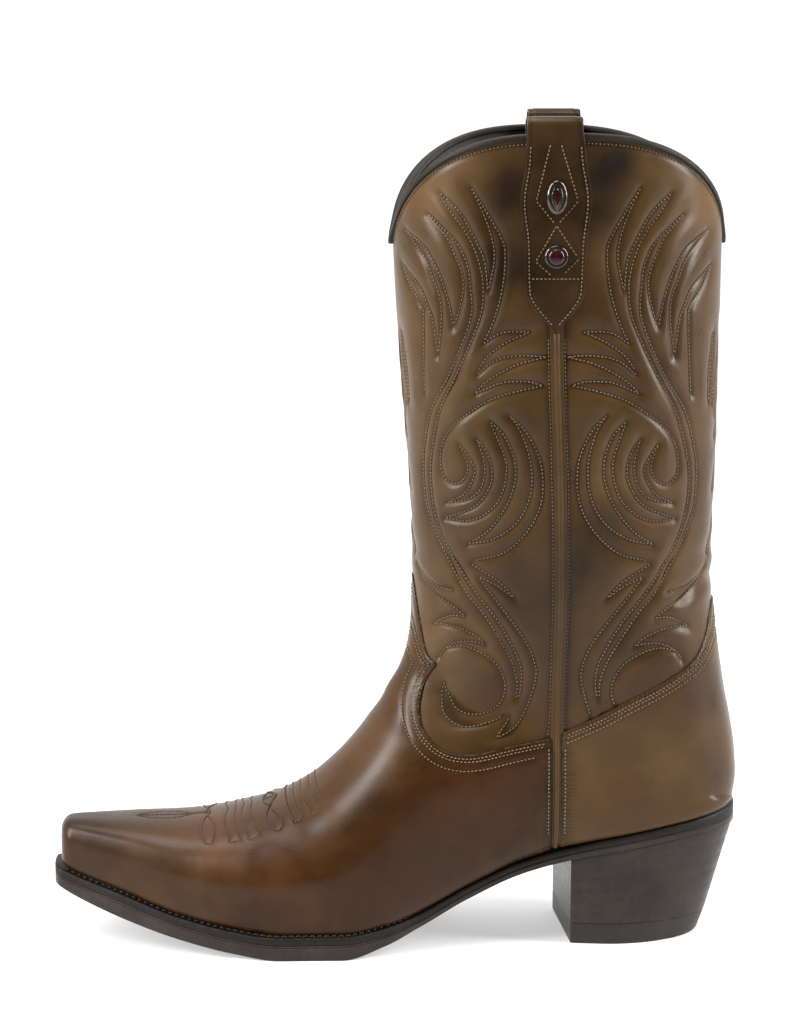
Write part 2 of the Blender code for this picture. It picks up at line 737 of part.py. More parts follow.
def make_welt():
    rings = []
    for x in along_sole(0.0, 0.0, SOLE_ROWS):
        middle, half = sole_edge(x, 0.0)
        margin = sole["margin"](x)
        inner_middle, inner_half = sole_edge(x, margin)
        if inner_half < half - margin * WELT_END_MARGINS:
            inner_half = max(inner_half, half * WELT_END_SHARE)
        near_end = min(x - TOE_TIP, HEEL_BACK - x)
        rise = sole["rise"](x) * min(1.0, near_end / margin)
        low = outsole_top(x) + SEAT_GAP
        edge = welt_edge_top(x)
        rings.append(np.array([
            (x, middle - half, low),
            (x, middle - half, edge),
            (x, inner_middle - inner_half, edge + rise),
            (x, inner_middle + inner_half, edge + rise),
            (x, middle + half, edge),
            (x, middle + half, low),
        ]))
    return loft("welt", rings, rubber, 30.0)


def make_outsole():
    rings = []
    for x in along_sole(0.0, 0.0, SOLE_ROWS):
        middle, half = sole_edge(x, 0.0)
        low = sole["bottom"](x)
        top = outsole_top(x)
        rings.append(np.array([
            (x, middle - half + EDGE_INSET, low),
            (x, middle - half, low + EDGE_HEIGHT),
            (x, middle - half, top),
            (x, middle + half, top),
            (x, middle + half, low + EDGE_HEIGHT),
            (x, middle + half - EDGE_INSET, low),
        ]))
    return loft("outsole", rings, sole_leather, 30.0)


def make_insole():
    rings = []
    clear = WALL + INSOLE_CLEAR
    for x in along_sole(TOE_MARGIN + clear, HEEL_MARGIN + clear, INSOLE_ROWS):
        middle, half = sole_edge(x, sole["margin"](x) + clear)
        low = feather_height(x) + SEAT_GAP
        rings.append(np.array([
            (x, middle - half, low),
            (x, middle - half, low + INSOLE),
            (x, middle + half, low + INSOLE),
            (x, middle + half, low),
        ]))
    return loft("insole", rings, lining_leather, 30.0)


def heel_ring(level):
    """Heel outline at a level from 0 on the floor to 1 under the outsole, breast first."""
    points = []
    tuck = HEEL_TOE_IN + (1.0 - HEEL_TOE_IN) * level
    slim = HEEL_WAIST + (1.0 - HEEL_WAIST) * level**HEEL_WAIST_POWER
    span = HEEL_BACK - HEEL_INSET - BREAST_X
    for side in (-1.0, 1.0):
        line = []
        for share in HEEL_SHARES:
            x = BREAST_X + share * span
            middle, half = sole_edge(x, HEEL_INSET)
            y = (middle + side * half) * slim
            lean = -y * math.tan(math.radians(BREAST_YAW)) * (1.0 - share)
            line.append((BREAST_X + (x - BREAST_X) * tuck + lean, y))
        points += line if side < 0 else line[::-1]
    return np.array(points)


def make_heel():
    rings = []
    start = CAP + SEAT_GAP
    for level in HEEL_LEVELS:
        share = (start + level * (HEEL_FULL - start)) / HEEL_FULL
        ring = heel_ring(share)
        top = sole["bottom"](heel_ring(1.0)[:, 0]) - SEAT_GAP
        z = start + (top - start) * level
        rings.append(np.column_stack([ring, z]))
    return loft("heel_stack", rings, sole_leather, 35.0)


def make_heel_cap():
    rings = []
    for z in (0.0, CAP):
        ring = heel_ring(z / HEEL_FULL)
        rings.append(np.column_stack([ring, np.full(len(ring), z)]))
    return loft("heel_cap", rings, rubber, 35.0)


for old in list(bpy.data.objects):
    bpy.data.objects.remove(old, do_unlink=True)
parts = bpy.data.collections.new("western_boot")
cutters = bpy.data.collections.new("western_boot_cutters")
for collection in (parts, cutters):
    bpy.context.scene.collection.children.link(collection)

leather = material("oiled_leather", (0.16, 0.10, 0.05), 0.5)
lining_leather = material("lining_leather", (0.35, 0.24, 0.14), 0.7)
sole_leather = material("sole_leather", (0.05, 0.04, 0.035), 0.5)
rubber = material("black_welt", (0.012, 0.012, 0.012), 0.6)
binding_leather = material("binding_leather", (0.05, 0.04, 0.03), 0.6)
metal = material("aged_metal", (0.30, 0.28, 0.26), 0.35, 1.0)

make_upper()
make_vamp()
make_counter()
make_binding()
for side, place in ((-1.0, "outer"), (1.0, "inner")):
    make_piping(place + "_piping", side)
    make_strap(place + "_strap", side)
    for stud, row in STUDS.items():
        make_stud(place + "_" + stud, side, row)
make_welt()
make_outsole()
make_insole()
make_heel()
make_heel_cap()
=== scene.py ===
"""Looks of the western boot: stitched leather panels, thread, binding, straps, studs, welt, sole and heel.

Frame and sizes are the part's own: floor at z = 0, toe towards -X, outer side towards -Y, millimetres.
Stitch lines are charted as points of the photograph's 800 x 1036 frame and laid on the upper.
"""

import math

import bmesh
import bpy
import numpy as np
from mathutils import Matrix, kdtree


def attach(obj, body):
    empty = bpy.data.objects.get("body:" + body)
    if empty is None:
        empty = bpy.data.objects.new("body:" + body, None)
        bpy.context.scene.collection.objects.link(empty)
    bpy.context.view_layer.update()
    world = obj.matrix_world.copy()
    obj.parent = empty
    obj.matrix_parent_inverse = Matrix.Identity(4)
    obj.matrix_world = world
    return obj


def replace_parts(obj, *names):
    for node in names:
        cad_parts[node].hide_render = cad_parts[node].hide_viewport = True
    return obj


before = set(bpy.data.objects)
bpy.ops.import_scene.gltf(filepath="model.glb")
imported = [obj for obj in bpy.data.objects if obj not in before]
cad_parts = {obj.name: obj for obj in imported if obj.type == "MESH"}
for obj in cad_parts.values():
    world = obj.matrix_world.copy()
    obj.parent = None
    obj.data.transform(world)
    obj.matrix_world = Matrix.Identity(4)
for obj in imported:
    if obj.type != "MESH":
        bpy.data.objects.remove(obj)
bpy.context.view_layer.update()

MM = 0.001
SIDES = (-1.0, 1.0)
ORIGIN_SHIFT = (1.8, 0.0, 0.0)

# Camera of the photograph, in millimetres of the part's frame before its shift, and in pixels
PHOTO_WIDTH = 800.0
PHOTO_HEIGHT = 1036.0
FOCUS_PX = 2966.0
CAMERA_PLACE = (-43.62, -1249.2, 395.0)
CAMERA_TILT = 80.3
CAMERA_TURN = -2.0
SENSOR = 36.0

# Overall sizes of the part
TOE_TIP = -149.6
HEEL_BACK = 145.6
WALL = 2.0
SEAT_GAP = 0.3
REST_GAP = 0.3 * SEAT_GAP
OVERLAY_GAP = 0.45
FEATHER_GAP = 0.5
TOE_ROUND = 5.0
TOE_POWER = 3.6
HEEL_ROUND = 50.0
HEEL_POWER = 2.3
HEEL_BLEND = 4.5
REACH_LEAST = 60.0
REACH_MOST = 320.0
HEEL_LEAST = 66.8
HEEL_MOST = 70.0
HALVINGS = 44
CORNER_FROM = 0.92
JOINT_SPAN = 9.0
JOINT_STEPS = (-6.0, -3.0, 3.0, 6.0)
HEEL_FULLNESS = 0.42
HEEL_SPREAD = 16.0

SOLE_COLUMNS = ("x", "lateral", "medial", "bottom", "outsole", "welt", "rise", "margin")
SOLE = (
    (-150.0, 10.5, 12.0, 24.6, 4.4, 2.6, 2.4, 4.4),
    (-140.0, 15.0, 16.0, 19.6, 5.6, 2.8, 2.4, 4.4),
    (-120.0, 24.0, 25.0, 12.4, 7.0, 2.8, 2.4, 4.4),
    (-95.0, 34.5, 36.5, 5.8, 6.2, 2.8, 2.0, 4.4),
    (-72.0, 43.0, 44.5, 2.0, 6.2, 2.8, 1.4, 4.4),
    (-52.0, 47.5, 47.5, 0.0, 6.7, 2.8, 0.9, 4.4),
    (-26.0, 47.6, 43.5, 0.0, 6.8, 2.8, 0.8, 4.4),
    (-8.0, 41.5, 35.5, 4.0, 4.8, 2.7, 1.2, 4.2),
    (8.0, 33.5, 29.0, 10.3, 2.9, 2.5, 1.8, 3.4),
    (28.0, 28.0, 24.5, 20.4, 2.7, 2.4, 1.6, 2.8),
    (50.0, 26.0, 23.5, 30.2, 2.7, 2.4, 2.0, 2.6),
    (72.0, 28.5, 25.0, 37.2, 2.9, 2.4, 2.0, 2.4),
    (95.0, 30.4, 28.6, 41.8, 3.2, 2.6, 1.6, 2.4),
    (120.0, 28.7, 30.3, 45.8, 3.2, 3.0, 1.6, 2.4),
    (146.0, 27.0, 32.0, 48.4, 3.2, 4.4, 3.4, 2.4),
)

PIVOT_X = -90.0
PIVOT_Z = 154.0
TURN = 90.0
UPPER_COLUMNS = ("station", "front", "lateral", "medial", "sway", "tail", "widest", "crown", "flank")
UPPER = (
    (-56.0, 104.6, 9.8, 9.8, 0.7, 0.0, 0.60, 3.0, 2.6),
    (-48.0, 104.2, 13.4, 13.4, 0.6, 0.0, 0.60, 3.0, 2.6),
    (-30.0, 104.2, 21.6, 22.2, 0.5, 0.0, 0.60, 2.8, 2.6),
    (-12.0, 104.2, 30.0, 31.2, 0.5, 0.0, 0.61, 2.5, 2.5),
    (0.0, 103.8, 35.0, 36.2, 0.5, 0.0, 0.62, 2.3, 2.4),
    (10.0, 102.5, 42.4, 43.4, 0.2, 0.0, 0.62, 2.1, 2.3),
    (20.0, 101.8, 44.4, 45.0, -0.8, 0.0, 0.60, 2.0, 2.2),
    (30.0, 100.8, 42.0, 39.6, -2.2, 0.0, 0.55, 1.9, 2.1),
    (40.0, 99.2, 37.6, 36.0, -2.4, 0.0, 0.47, 1.9, 2.0),
    (50.0, 98.0, 34.8, 34.0, -2.0, 0.0, 0.44, 1.9, 2.0),
    (60.0, 97.6, 33.4, 33.2, -0.8, 1.0, 0.48, 1.9, 2.1),
    (68.0, 98.6, 33.6, 33.6, 0.4, 2.5, 0.50, 1.95, 2.1),
    (80.0, 98.0, 37.0, 37.0, 0.4, 1.8, 0.50, 2.0, 2.1),
    (90.0, 96.2, 41.0, 41.0, 0.2, 1.0, 0.50, 2.0, 2.1),
    (130.0, 94.4, 45.6, 45.6, 0.0, 0.0, 0.49, 2.05, 2.1),
    (190.0, 90.0, 49.0, 49.0, 0.0, 0.0, 0.49, 2.1, 2.1),
    (240.0, 87.4, 50.0, 50.0, 0.0, 0.0, 0.49, 2.1, 2.1),
    (290.0, 86.4, 50.0, 50.0, 0.0, 0.0, 0.49, 2.1, 2.1),
)

BACK_COLUMNS = ("z", "x")
BACK = (
    (40.0, 141.0),
    (59.5, 143.2),
    (69.0, 144.3),
    (80.0, 143.7),
    (96.0, 141.4),
    (110.0, 138.2),
    (123.0, 135.4),
    (136.0, 133.6),
    (150.0, 132.9),
    (182.0, 133.5),
    (215.0, 134.4),
    (290.0, 134.9),
    (350.0, 136.0),
)

TOE_MARGIN = SOLE[0][-1]
HEEL_MARGIN = SOLE[-1][-1]
TOE_FACE = TOE_TIP + TOE_MARGIN
BROW = 3.2

COLLAR_PEAK = 345.6
COLLAR_DIP = 300.0
COLLAR_POWER = 2.6
COLLAR_BASE = 284.0
COLLAR_ROW_DROP = 3.1
COLLAR_ROW_WIDEN = 0.8

OVERLAY = 1.1
SEAM_X = 65.2
SEAM_HALF = 1.8
VAMP_TONGUE = ((6.1, 157.5), (7.0, 150.6), (9.4, 134.7), (11.7, 124.8), (15.4, 121.6))
VAMP_DIP = (
    (15.4, 121.6), (11.9, 115.8), (9.0, 108.9), (7.7, 102.1), (9.2, 94.6),
    (14.3, 88.9), (21.4, 85.8), (31.0, 85.6), (46.3, 89.0), (63.4, 92.6),
)
COUNTER_EDGE = (
    (67.0, 94.8), (81.8, 101.5), (94.1, 108.1), (106.5, 114.0), (116.7, 119.4),
    (123.8, 124.6), (128.6, 133.0), (130.9, 141.5), (132.4, 147.0),
)

PIPING_COLUMNS = ("z", "x", "twist")
PIPING = (
    (40.0, 65.0, 0.0),
    (66.0, 65.2, 0.0),
    (95.0, 65.2, 0.0),
    (152.0, 65.6, 2.0),
    (196.0, 64.6, 5.0),
    (265.0, 62.1, 8.0),
    (350.0, 61.2, 8.0),
)
PIPING_HIGH = 265.5
PIPING_LOW = 44.8
PIPING_WIDTH = 3.0
PIPING_HEIGHT = 1.5
PIPING_SINK = 0.35
PIPING_TAPER = 5.0
PIPING_TONE = 0.05
FLANGE_LEAST = 0.25
SEAM_STEP = 165.0
SEAM_STEP_RUN = 10.0

BINDING_GAP = 0.35
BINDING_FACE = 0.9
BINDING_TOP = 0.7
BINDING_BAND = 1.6
BINDING_BEAK = 1.2
BINDING_BEAK_SPAN = 6.0

STRAP_COLUMNS = ("z", "front", "back")
STRAP = (
    (266.0, 0.6, 0.6),
    (283.0, 12.2, 12.0),
    (302.0, 12.8, 12.6),
    (319.0, 14.6, 14.3),
    (336.0, 12.6, 11.8),
    (353.4, 12.2, 10.4),
)
STRAP_X = 61.4
STRAP_TWIST = 8.0
STRAP_TOP = 353.4
STRAP_THICK = 1.6
STRAP_STAND = 2.8
STRAP_REST = 0.6
STRAP_INNER_END = 306.0
STRAP_SPRING = 343.0
STRAP_ARCH_POWER = 5.0
STRAP_ROW = 1.7
STRAP_ROW_DEPTH = 0.22
STRAP_ROW_HALF = 0.6
STRAP_ROW_LOW = 270.0
STRAP_EDGE_THIN = 0.30
STRAP_EDGE_POWER = 14
STRAP_CLOUDS = 0.3
STRAP_TONE = -0.3
# Painted shade on the strap's inner face, towards the shaft
STRAP_INNER_SHADE = 0.3

STUDS = {
    "oval_stud": (321.0, 14.0, 8.6, 2.6),
    "round_stud": (297.0, 9.8, 9.8, 2.6),
}

INSOLE = 3.0
INSOLE_CLEAR = 1.4
HEEL_INSET = 0.6
BREAST_X = 70.4
BREAST_YAW = 3.9
CAP = 9.2
HEEL_TOE_IN = 0.80
HEEL_WAIST = 0.96
HEEL_FULL = 40.0
HEEL_CORNER = 0.02
HEEL_LAYERS = 6
LAYER_LINE = 0.04

# Stitching: pitch, thread and needle hole sizes, the padding that the rows press into the leather, and the
# painted shade in the rows
PITCH = 1.65
THREAD_LONG = 1.15
THREAD_WIDE = 0.56
THREAD_HIGH = 0.30
HOLE_RADIUS = 0.38
GROOVE_DEPTH = 0.6
GROOVE_HALF = 1.45
PUFF_HEIGHT = 0.55
PUFF_HALF = 5.0
EDGE_ROWS = (1.9, 3.1, 6.8)
COUNTER_ROWS = (1.9, 3.1, 5.0)
SEAM_ROW = 3.3
SEAM_FLAT = 7.0
ROW_DEPTH = 0.35
ROW_HALF = 1.0
ROW_SHADE_HALF = 0.75
TOE_ROW_DEPTH = 0.22
TOE_ROW_HALF = 0.9
TOE_ROW_SHADE = 0.12
TOE_ROW_SHADE_HALF = 0.7
TOE_ROWS_END = 65.0
TOE_ROWS_TURN = 0.62
WELT_PITCH = 3.0
WELT_THREAD_LONG = 2.3
WELT_THREAD_WIDE = 1.1
WELT_THREAD_HIGH = 0.55
WELT_ROW_SHARE = 0.42
WELT_ROW_RISE = 0.30
RIPPLE = 0.12
RIPPLE_PITCH = 2.4

# Overlays: how their edge and rows dip and take painted shade, and how far the shaft runs on under them
EDGE_DROP = 0.55
EDGE_ROUND = 0.45
EDGE_SHADE = 0.9
EDGE_SHADE_HALF = 0.35
OVERLAY_ROW_DEPTH = 0.32
OVERLAY_ROW_HALF = 0.7
OVERLAY_ROW_SHADE = 0.55
OVERLAY_ROW_SHADE_HALF = 0.55
OVERLAY_FOOT = 0.1
UNDERLAP = 7.0
OVERLAY_CLEAR = 0.6
VAMP_TONE = -0.27
VAMP_WARMTH = 0.32
COUNTER_TONE = 0.05
COUNTER_WARMTH = 0.12

# Height of each kind of row over the surface that it is laid on
ROW_HEIGHTS = {
    "flame": -GROOVE_DEPTH,
    "seam": -0.55,
    "collar": 0.1,
    "overlay": -0.3,
    "side": -0.1,
    "strap": -0.12,
    "toe": -0.2,
}
HOLE_LIFT = 0.06
HOLE_START = (0.31, 0.17, 0.93)

# Heights between which rows run beside the seams and up the straps, and how far they keep from the seam
SEAM_ROW_SPAN = (86.0, 264.0)
SIDE_ROW_SPAN = (88.0, 50.0)
SIDE_ROW = 1.7
STRAP_ROW_SPAN = (269.0, 342.0)
STRAP_ROWS_END = 342.5

# Flames of the front quarter as seen in the photograph: each line of stitches from tip to root
FLAMES = {
    "plume_1_back": ((471, 188), (486, 212), (502, 240), (505, 258), (502, 290), (493, 322), (483, 344)),
    "plume_1_front": ((471, 188), (484, 216), (492, 240), (494, 261), (488, 292)),
    "plume_2_back": ((440, 193), (459, 212), (475, 240), (484, 261), (488, 292)),
    "plume_2_stem": (
        (440, 193), (447, 207), (463, 229), (473, 247), (480, 268), (483, 289), (479, 320), (457, 373),
        (441, 406), (434, 436), (430, 468), (432, 499), (440, 531), (454, 559), (477, 595), (496, 619),
        (512, 646), (521, 669), (520, 692), (517, 699),
    ),
    "plume_3_stem": (
        (428, 214), (446, 232), (459, 247), (467, 266), (470, 287), (470, 320), (449, 374), (431, 409),
        (424, 445), (423, 472), (426, 504), (436, 534), (449, 561), (465, 591), (483, 614), (501, 642),
        (512, 663), (517, 682), (516, 699),
    ),
    "plume_3_front": (
        (428, 214), (433, 221), (446, 237), (454, 254), (461, 271), (463, 288), (459, 310), (453, 327),
    ),
    "plume_4_back": ((405, 230), (423, 246), (436, 268), (444, 289), (450, 310), (453, 327)),
    "plume_4_front": ((405, 230), (412, 240), (425, 259), (433, 280), (439, 296), (441, 319), (438, 356)),
    "plume_5_back": ((402, 264), (418, 285), (428, 308), (432, 320), (438, 356)),
    "plume_5_front": ((402, 264), (409, 284), (421, 305), (423, 320), (424, 394)),
    "barb_1_top": ((483, 344), (502, 333), (530, 332)),
    "barb_1_low": ((530, 332), (506, 343), (488, 356), (477, 372)),
    "barb_2_top": ((477, 375), (495, 361), (520, 356), (547, 357)),
    "barb_2_low": ((547, 357), (520, 364), (499, 374), (484, 384), (475, 394)),
    "barb_3_top": ((475, 394), (484, 390), (502, 383), (527, 382), (543, 386)),
    "curl": (
        (543, 386), (516, 392), (491, 400), (472, 411), (454, 425), (443, 441), (440, 459), (442, 474),
        (450, 483), (459, 483), (466, 475), (467, 463), (459, 445),
    ),
    "crescent_1_front": ((459, 444), (466, 454), (474, 468), (472, 481), (463, 495), (447, 502)),
    "crescent_1_back": ((447, 502), (466, 500), (479, 491), (484, 477), (484, 463), (477, 439)),
    "crescent_2_front": ((476, 439), (486, 452), (492, 472), (488, 490), (474, 507), (445, 518)),
    "crescent_2_back": ((445, 518), (466, 521), (484, 515), (499, 500), (506, 477), (504, 456), (490, 422)),
    "crescent_3_front": (
        (490, 422), (504, 436), (514, 459), (515, 481), (506, 507), (488, 531), (468, 544),
    ),
    "crescent_3_back": (
        (468, 544), (491, 540), (513, 527), (527, 506), (532, 481), (529, 456), (520, 431), (509, 415),
    ),
    "crescent_4": (
        (509, 415), (527, 434), (540, 461), (543, 490), (538, 513), (524, 536), (502, 554), (472, 561),
    ),
    "tail_top": ((471, 564), (483, 572), (500, 583), (515, 599)),
    "tail_low": ((479, 577), (487, 581), (497, 586), (515, 599)),
    "sweep": (
        (479, 578), (496, 601), (512, 622), (527, 644), (534, 661), (536, 677), (530, 699),
        (520, 720), (504, 737),
    ),
    "sweep_hook": ((504, 737), (507, 724), (509, 715)),
    "ring": (
        (446, 648), (461, 646), (477, 651), (495, 663), (504, 680), (504, 695), (495, 708), (480, 714),
        (465, 711), (454, 702), (446, 690), (444, 682),
    ),
    "ring_low": ((444, 682), (442, 692), (449, 711), (462, 723), (477, 726), (492, 722), (504, 714)),
    "ring_top": ((439, 656), (446, 648), (459, 642), (474, 642), (486, 645)),
    "lick_1_top": ((417, 563), (424, 575), (433, 584), (441, 588), (453, 591)),
    "lick_1_low": ((421, 576), (429, 586), (439, 597), (449, 604), (458, 611), (465, 617)),
    "lick_2_top": ((465, 617), (458, 616), (450, 616), (440, 620), (434, 624)),
    "lick_2_low": ((434, 624), (443, 624), (459, 628), (468, 632), (477, 637), (486, 645)),
}

# Toe stitching of the outer side, drawn as seen in the photograph
TOE_PITCH = 1.6
TOE_GIRTH = 100.0
TOE_LINES = {
    "leaf_low": ((136, 816), (154, 821), (175, 821), (195, 816), (210, 811)),
    "leaf_top": ((136, 816), (158, 812), (180, 811), (200, 813), (212, 817)),
    "loop": (
        (211, 812), (203, 824), (201, 835), (205, 844), (210, 846), (214, 840), (215, 828), (207, 818),
    ),
    "bar_1": ((228, 806.5), (226, 820), (227, 833), (230, 844)),
    "bar_2": ((236, 804.5), (235, 820), (237, 833), (240, 843)),
    "bar_2_foot": ((230, 844), (240, 843)),
    "bar_3": ((243, 803), (241.5, 818), (245, 831), (249, 842)),
    "bar_4": ((252, 801), (250.5, 813), (255, 828), (260, 838)),
    "bar_4_foot": ((249, 842), (260, 838)),
    "bow_top": ((270, 808), (278, 797), (276, 793), (266, 796), (263, 801), (267, 806), (273, 808)),
    "bow_low": ((270, 808), (268, 822), (276, 833), (283, 828), (281, 818), (273, 811)),
    "bar_5": ((285, 788.5), (287, 803), (290, 815), (294.5, 825)),
    "bar_6": ((293, 783.5), (294.5, 796), (298.5, 811), (305, 821)),
    "bar_6_foot": ((294.5, 825), (305, 821)),
    "bar_7": ((299.5, 780), (303, 798), (308, 810), (313.5, 817)),
    "bar_8": ((307, 775), (310, 788), (315, 801), (322, 812)),
    "bar_8_foot": ((313.5, 817), (322, 812)),
    "bar_9": ((313.5, 771), (318, 788), (324, 801), (330, 807)),
}

# Licks along the front and back of the shaft, as distance from the side seam and height
CHART_STEP = 0.3
LICK_LEAN = (1.0, 0.4)
LICK_COLUMNS = ("tip", "tip_height", "root", "root_height", "bow")
LICKS = (
    (79.0, 262.0, 74.5, 233.0, 1.8),
    (91.0, 264.0, 78.0, 232.0, 1.5),
    (89.0, 244.0, 81.5, 227.0, 1.3),
    (89.0, 229.0, 81.5, 218.0, 1.1),
    (88.0, 211.0, 80.0, 195.0, 1.3),
    (88.0, 190.5, 75.0, 168.0, 1.6),
)


def smooth_step(share):
    """A share cut to 0 and 1 that eases in and out."""
    f = np.clip(share, 0.0, 1.0)
    return f * f * (3.0 - 2.0 * f)


def bell(distance, half):
    """1 at no distance, falling off smoothly over the half width."""
    return np.exp(-((distance / half) ** 2))


def lengths_along(path):
    """Distance along a path to each of its points."""
    return np.concatenate([[0.0], np.cumsum(np.linalg.norm(np.diff(path, axis=0), axis=1))])


def unit(vectors):
    """Vectors of the same directions with a length of one."""
    return vectors / np.maximum(np.linalg.norm(vectors, axis=-1, keepdims=True), 1e-9)


def halving(low, high, beyond, steps):
    """Where beyond turns true between low and high."""
    for _ in range(steps):
        middle = (low + high) / 2
        past = beyond(middle)
        low, high = np.where(past, low, middle), np.where(past, middle, high)
    return (low + high) / 2


def tree_of(points):
    """Search tree of points in space, or in the plane."""
    tree = kdtree.KDTree(len(points))
    for i, point in enumerate(points):
        tree.insert((*point, 0.0)[:3], i)
    tree.balance()
    return tree


def curve(columns, rows, name):
    """A smooth function of the table's first column that passes through one of its other columns."""
    knots = np.array([row[0] for row in rows])
    values = np.array([row[columns.index(name)] for row in rows])
    steps = np.diff(knots)
    slopes = np.diff(values) / steps
    turns = np.empty_like(values)
    turns[0] = slopes[0]
    turns[-1] = slopes[-1]
    before, after = slopes[:-1], slopes[1:]
    same = before * after > 0
    safe = np.where(same, before + after, 1.0)
    turns[1:-1] = np.where(same, 2.0 * before * after / safe, 0.0)

    def at(place):
        place = np.clip(place, knots[0], knots[-1])
        i = np.clip(np.searchsorted(knots, place, side="right") - 1, 0, len(steps) - 1)
        h = steps[i]
        f = (place - knots[i]) / h
        rise = smooth_step(f)
        lean_in = f * (1.0 - f) ** 2 * h * turns[i]
        lean_out = -f * f * (1.0 - f) * h * turns[i + 1]
        return values[i] + (values[i + 1] - values[i]) * rise + lean_in + lean_out

    return at


sole = {name: curve(SOLE_COLUMNS, SOLE, name) for name in SOLE_COLUMNS[1:]}
upper = {name: curve(UPPER_COLUMNS, UPPER, name) for name in UPPER_COLUMNS[1:]}
back_line = curve(BACK_COLUMNS, BACK, "x")
seam_x = curve(PIPING_COLUMNS, PIPING, "x")
seam_twist = curve(PIPING_COLUMNS, PIPING, "twist")


def seam_line(z, side):
    """Side-view x of the side seam, which lies further back on the inner side."""
    return seam_x(z) + (seam_twist(z) if side > 0 else 0.0)


def sole_edge(x, inset):
    """Middle and half width of the sole's outline at x, drawn in by the inset."""
    middle = (sole["medial"](x) - sole["lateral"](x)) / 2
    half = (sole["medial"](x) + sole["lateral"](x)) / 2 - inset
    toe = np.clip((TOE_TIP + inset + TOE_ROUND - x) / TOE_ROUND, 0.0, 1.0)
    heel = np.clip((x - (HEEL_BACK - HEEL_ROUND)) / (HEEL_ROUND - inset), 0.0, 1.0)
    toe_round = (1.0 - toe**TOE_POWER) ** (1.0 / TOE_POWER)
    heel_round = (1.0 - heel**HEEL_POWER) ** (1.0 / HEEL_POWER)
    return middle, half * toe_round * heel_round


def outsole_top(x):
    return sole["bottom"](x) + sole["outsole"](x)


def welt_edge_top(x):
    return outsole_top(x) + SEAT_GAP + sole["welt"](x)


def feather_height(x):
    """Top of the welt beside the upper."""
    return welt_edge_top(x) + sole["rise"](x)


def section_frame(station):
    """Start of a section's plane and its direction in the boot's side view."""
    start_x = PIVOT_X + np.minimum(station, 0.0)
    start_z = PIVOT_Z + np.maximum(station - TURN, 0.0)
    angle = np.radians(TURN - np.clip(station, 0.0, TURN))
    return start_x, start_z, np.cos(angle), -np.sin(angle)


def measured_reach(station):
    """Distance along a section's plane to the feather line under the foot or to the back line."""
    x, z, along_x, along_z = section_frame(station)

    def outside(reach):
        at_x = x + reach * along_x
        at_z = z + reach * along_z
        return (at_z < feather_height(at_x) + FEATHER_GAP) | (at_x > back_line(at_z))

    return halving(np.full_like(station, REACH_LEAST), np.full_like(station, REACH_MOST), outside, HALVINGS)


def heel_station():
    """Station whose plane meets the corner of the feather line and the back line."""

    def on_back(station):
        x, z, along_x, along_z = section_frame(station)
        reach = measured_reach(station)
        return back_line(z + reach * along_z) - (x + reach * along_x) <= 0.01

    return halving(np.array([HEEL_LEAST]), np.array([HEEL_MOST]), on_back, HALVINGS)[0]


HEEL_STATION = heel_station()
REACH_STATIONS = np.sort(np.append(np.linspace(-56.0, 300.0, 4000), HEEL_STATION))
REACHES = measured_reach(REACH_STATIONS)


def toe_depth(station, length):
    """Share of a rounding length still ahead of a section, 1 at the toe face and 0 behind it."""
    return np.clip(1.0 - (PIVOT_X + station - TOE_FACE) / length, 0.0, 1.0)


def eased_near_heel(values):
    """Values by station with the corner at the heel seat eased out."""
    offsets = np.arange(-HEEL_BLEND, HEEL_BLEND + 0.5, 1.0)
    weights = bell(offsets, HEEL_BLEND / 2)
    moved = [w * np.interp(REACH_STATIONS + o, REACH_STATIONS, values) for w, o in zip(weights, offsets)]
    near = smooth_step(2.0 - np.abs(REACH_STATIONS - HEEL_STATION) / HEEL_BLEND)
    return values + (sum(moved) / weights.sum() - values) * near


def edge_across(station, far, side):
    """Lower edge of a section, across the boot."""
    x, _, along_x, _ = section_frame(station)
    middle, half = sole_edge(x + far * along_x, sole["margin"](x + far * along_x))
    return np.where(station < HEEL_STATION, middle + side * half, upper["tail"](station))


EASED_REACHES = eased_near_heel(REACHES)
EASED_OUTER = eased_near_heel(edge_across(REACH_STATIONS, REACHES, -1.0))
EASED_INNER = eased_near_heel(edge_across(REACH_STATIONS, REACHES, 1.0))


def edge_share(share):
    """How much of the heel seat's corner shows, none above and all at the lower edge."""
    return smooth_step((share - CORNER_FROM) / (1.0 - CORNER_FROM))


def section_span(station):
    """Nearest and farthest reach of a section, and the farthest with the heel's corner eased."""
    brow = BROW * (1.0 - np.sqrt(1.0 - toe_depth(station, BROW) ** 2))
    far = np.interp(station, REACH_STATIONS, REACHES)
    return upper["front"](station) + brow, far, np.interp(station, REACH_STATIONS, EASED_REACHES)


def reach_at(share, near, far, eased):
    """Reach of a share of a section."""
    return near + (eased + (far - eased) * edge_share(share) - near) * share


def flank_power(station):
    """Fullness of a section's lower flank, which swells where it wraps the heel."""
    return upper["flank"](station) + HEEL_FULLNESS * bell(station - HEEL_STATION, HEEL_SPREAD)


def toe_taper(station):
    """How the sections close in plan on the toe face."""
    return (1.0 - toe_depth(station, TOE_ROUND) ** TOE_POWER) ** (1.0 / TOE_POWER)


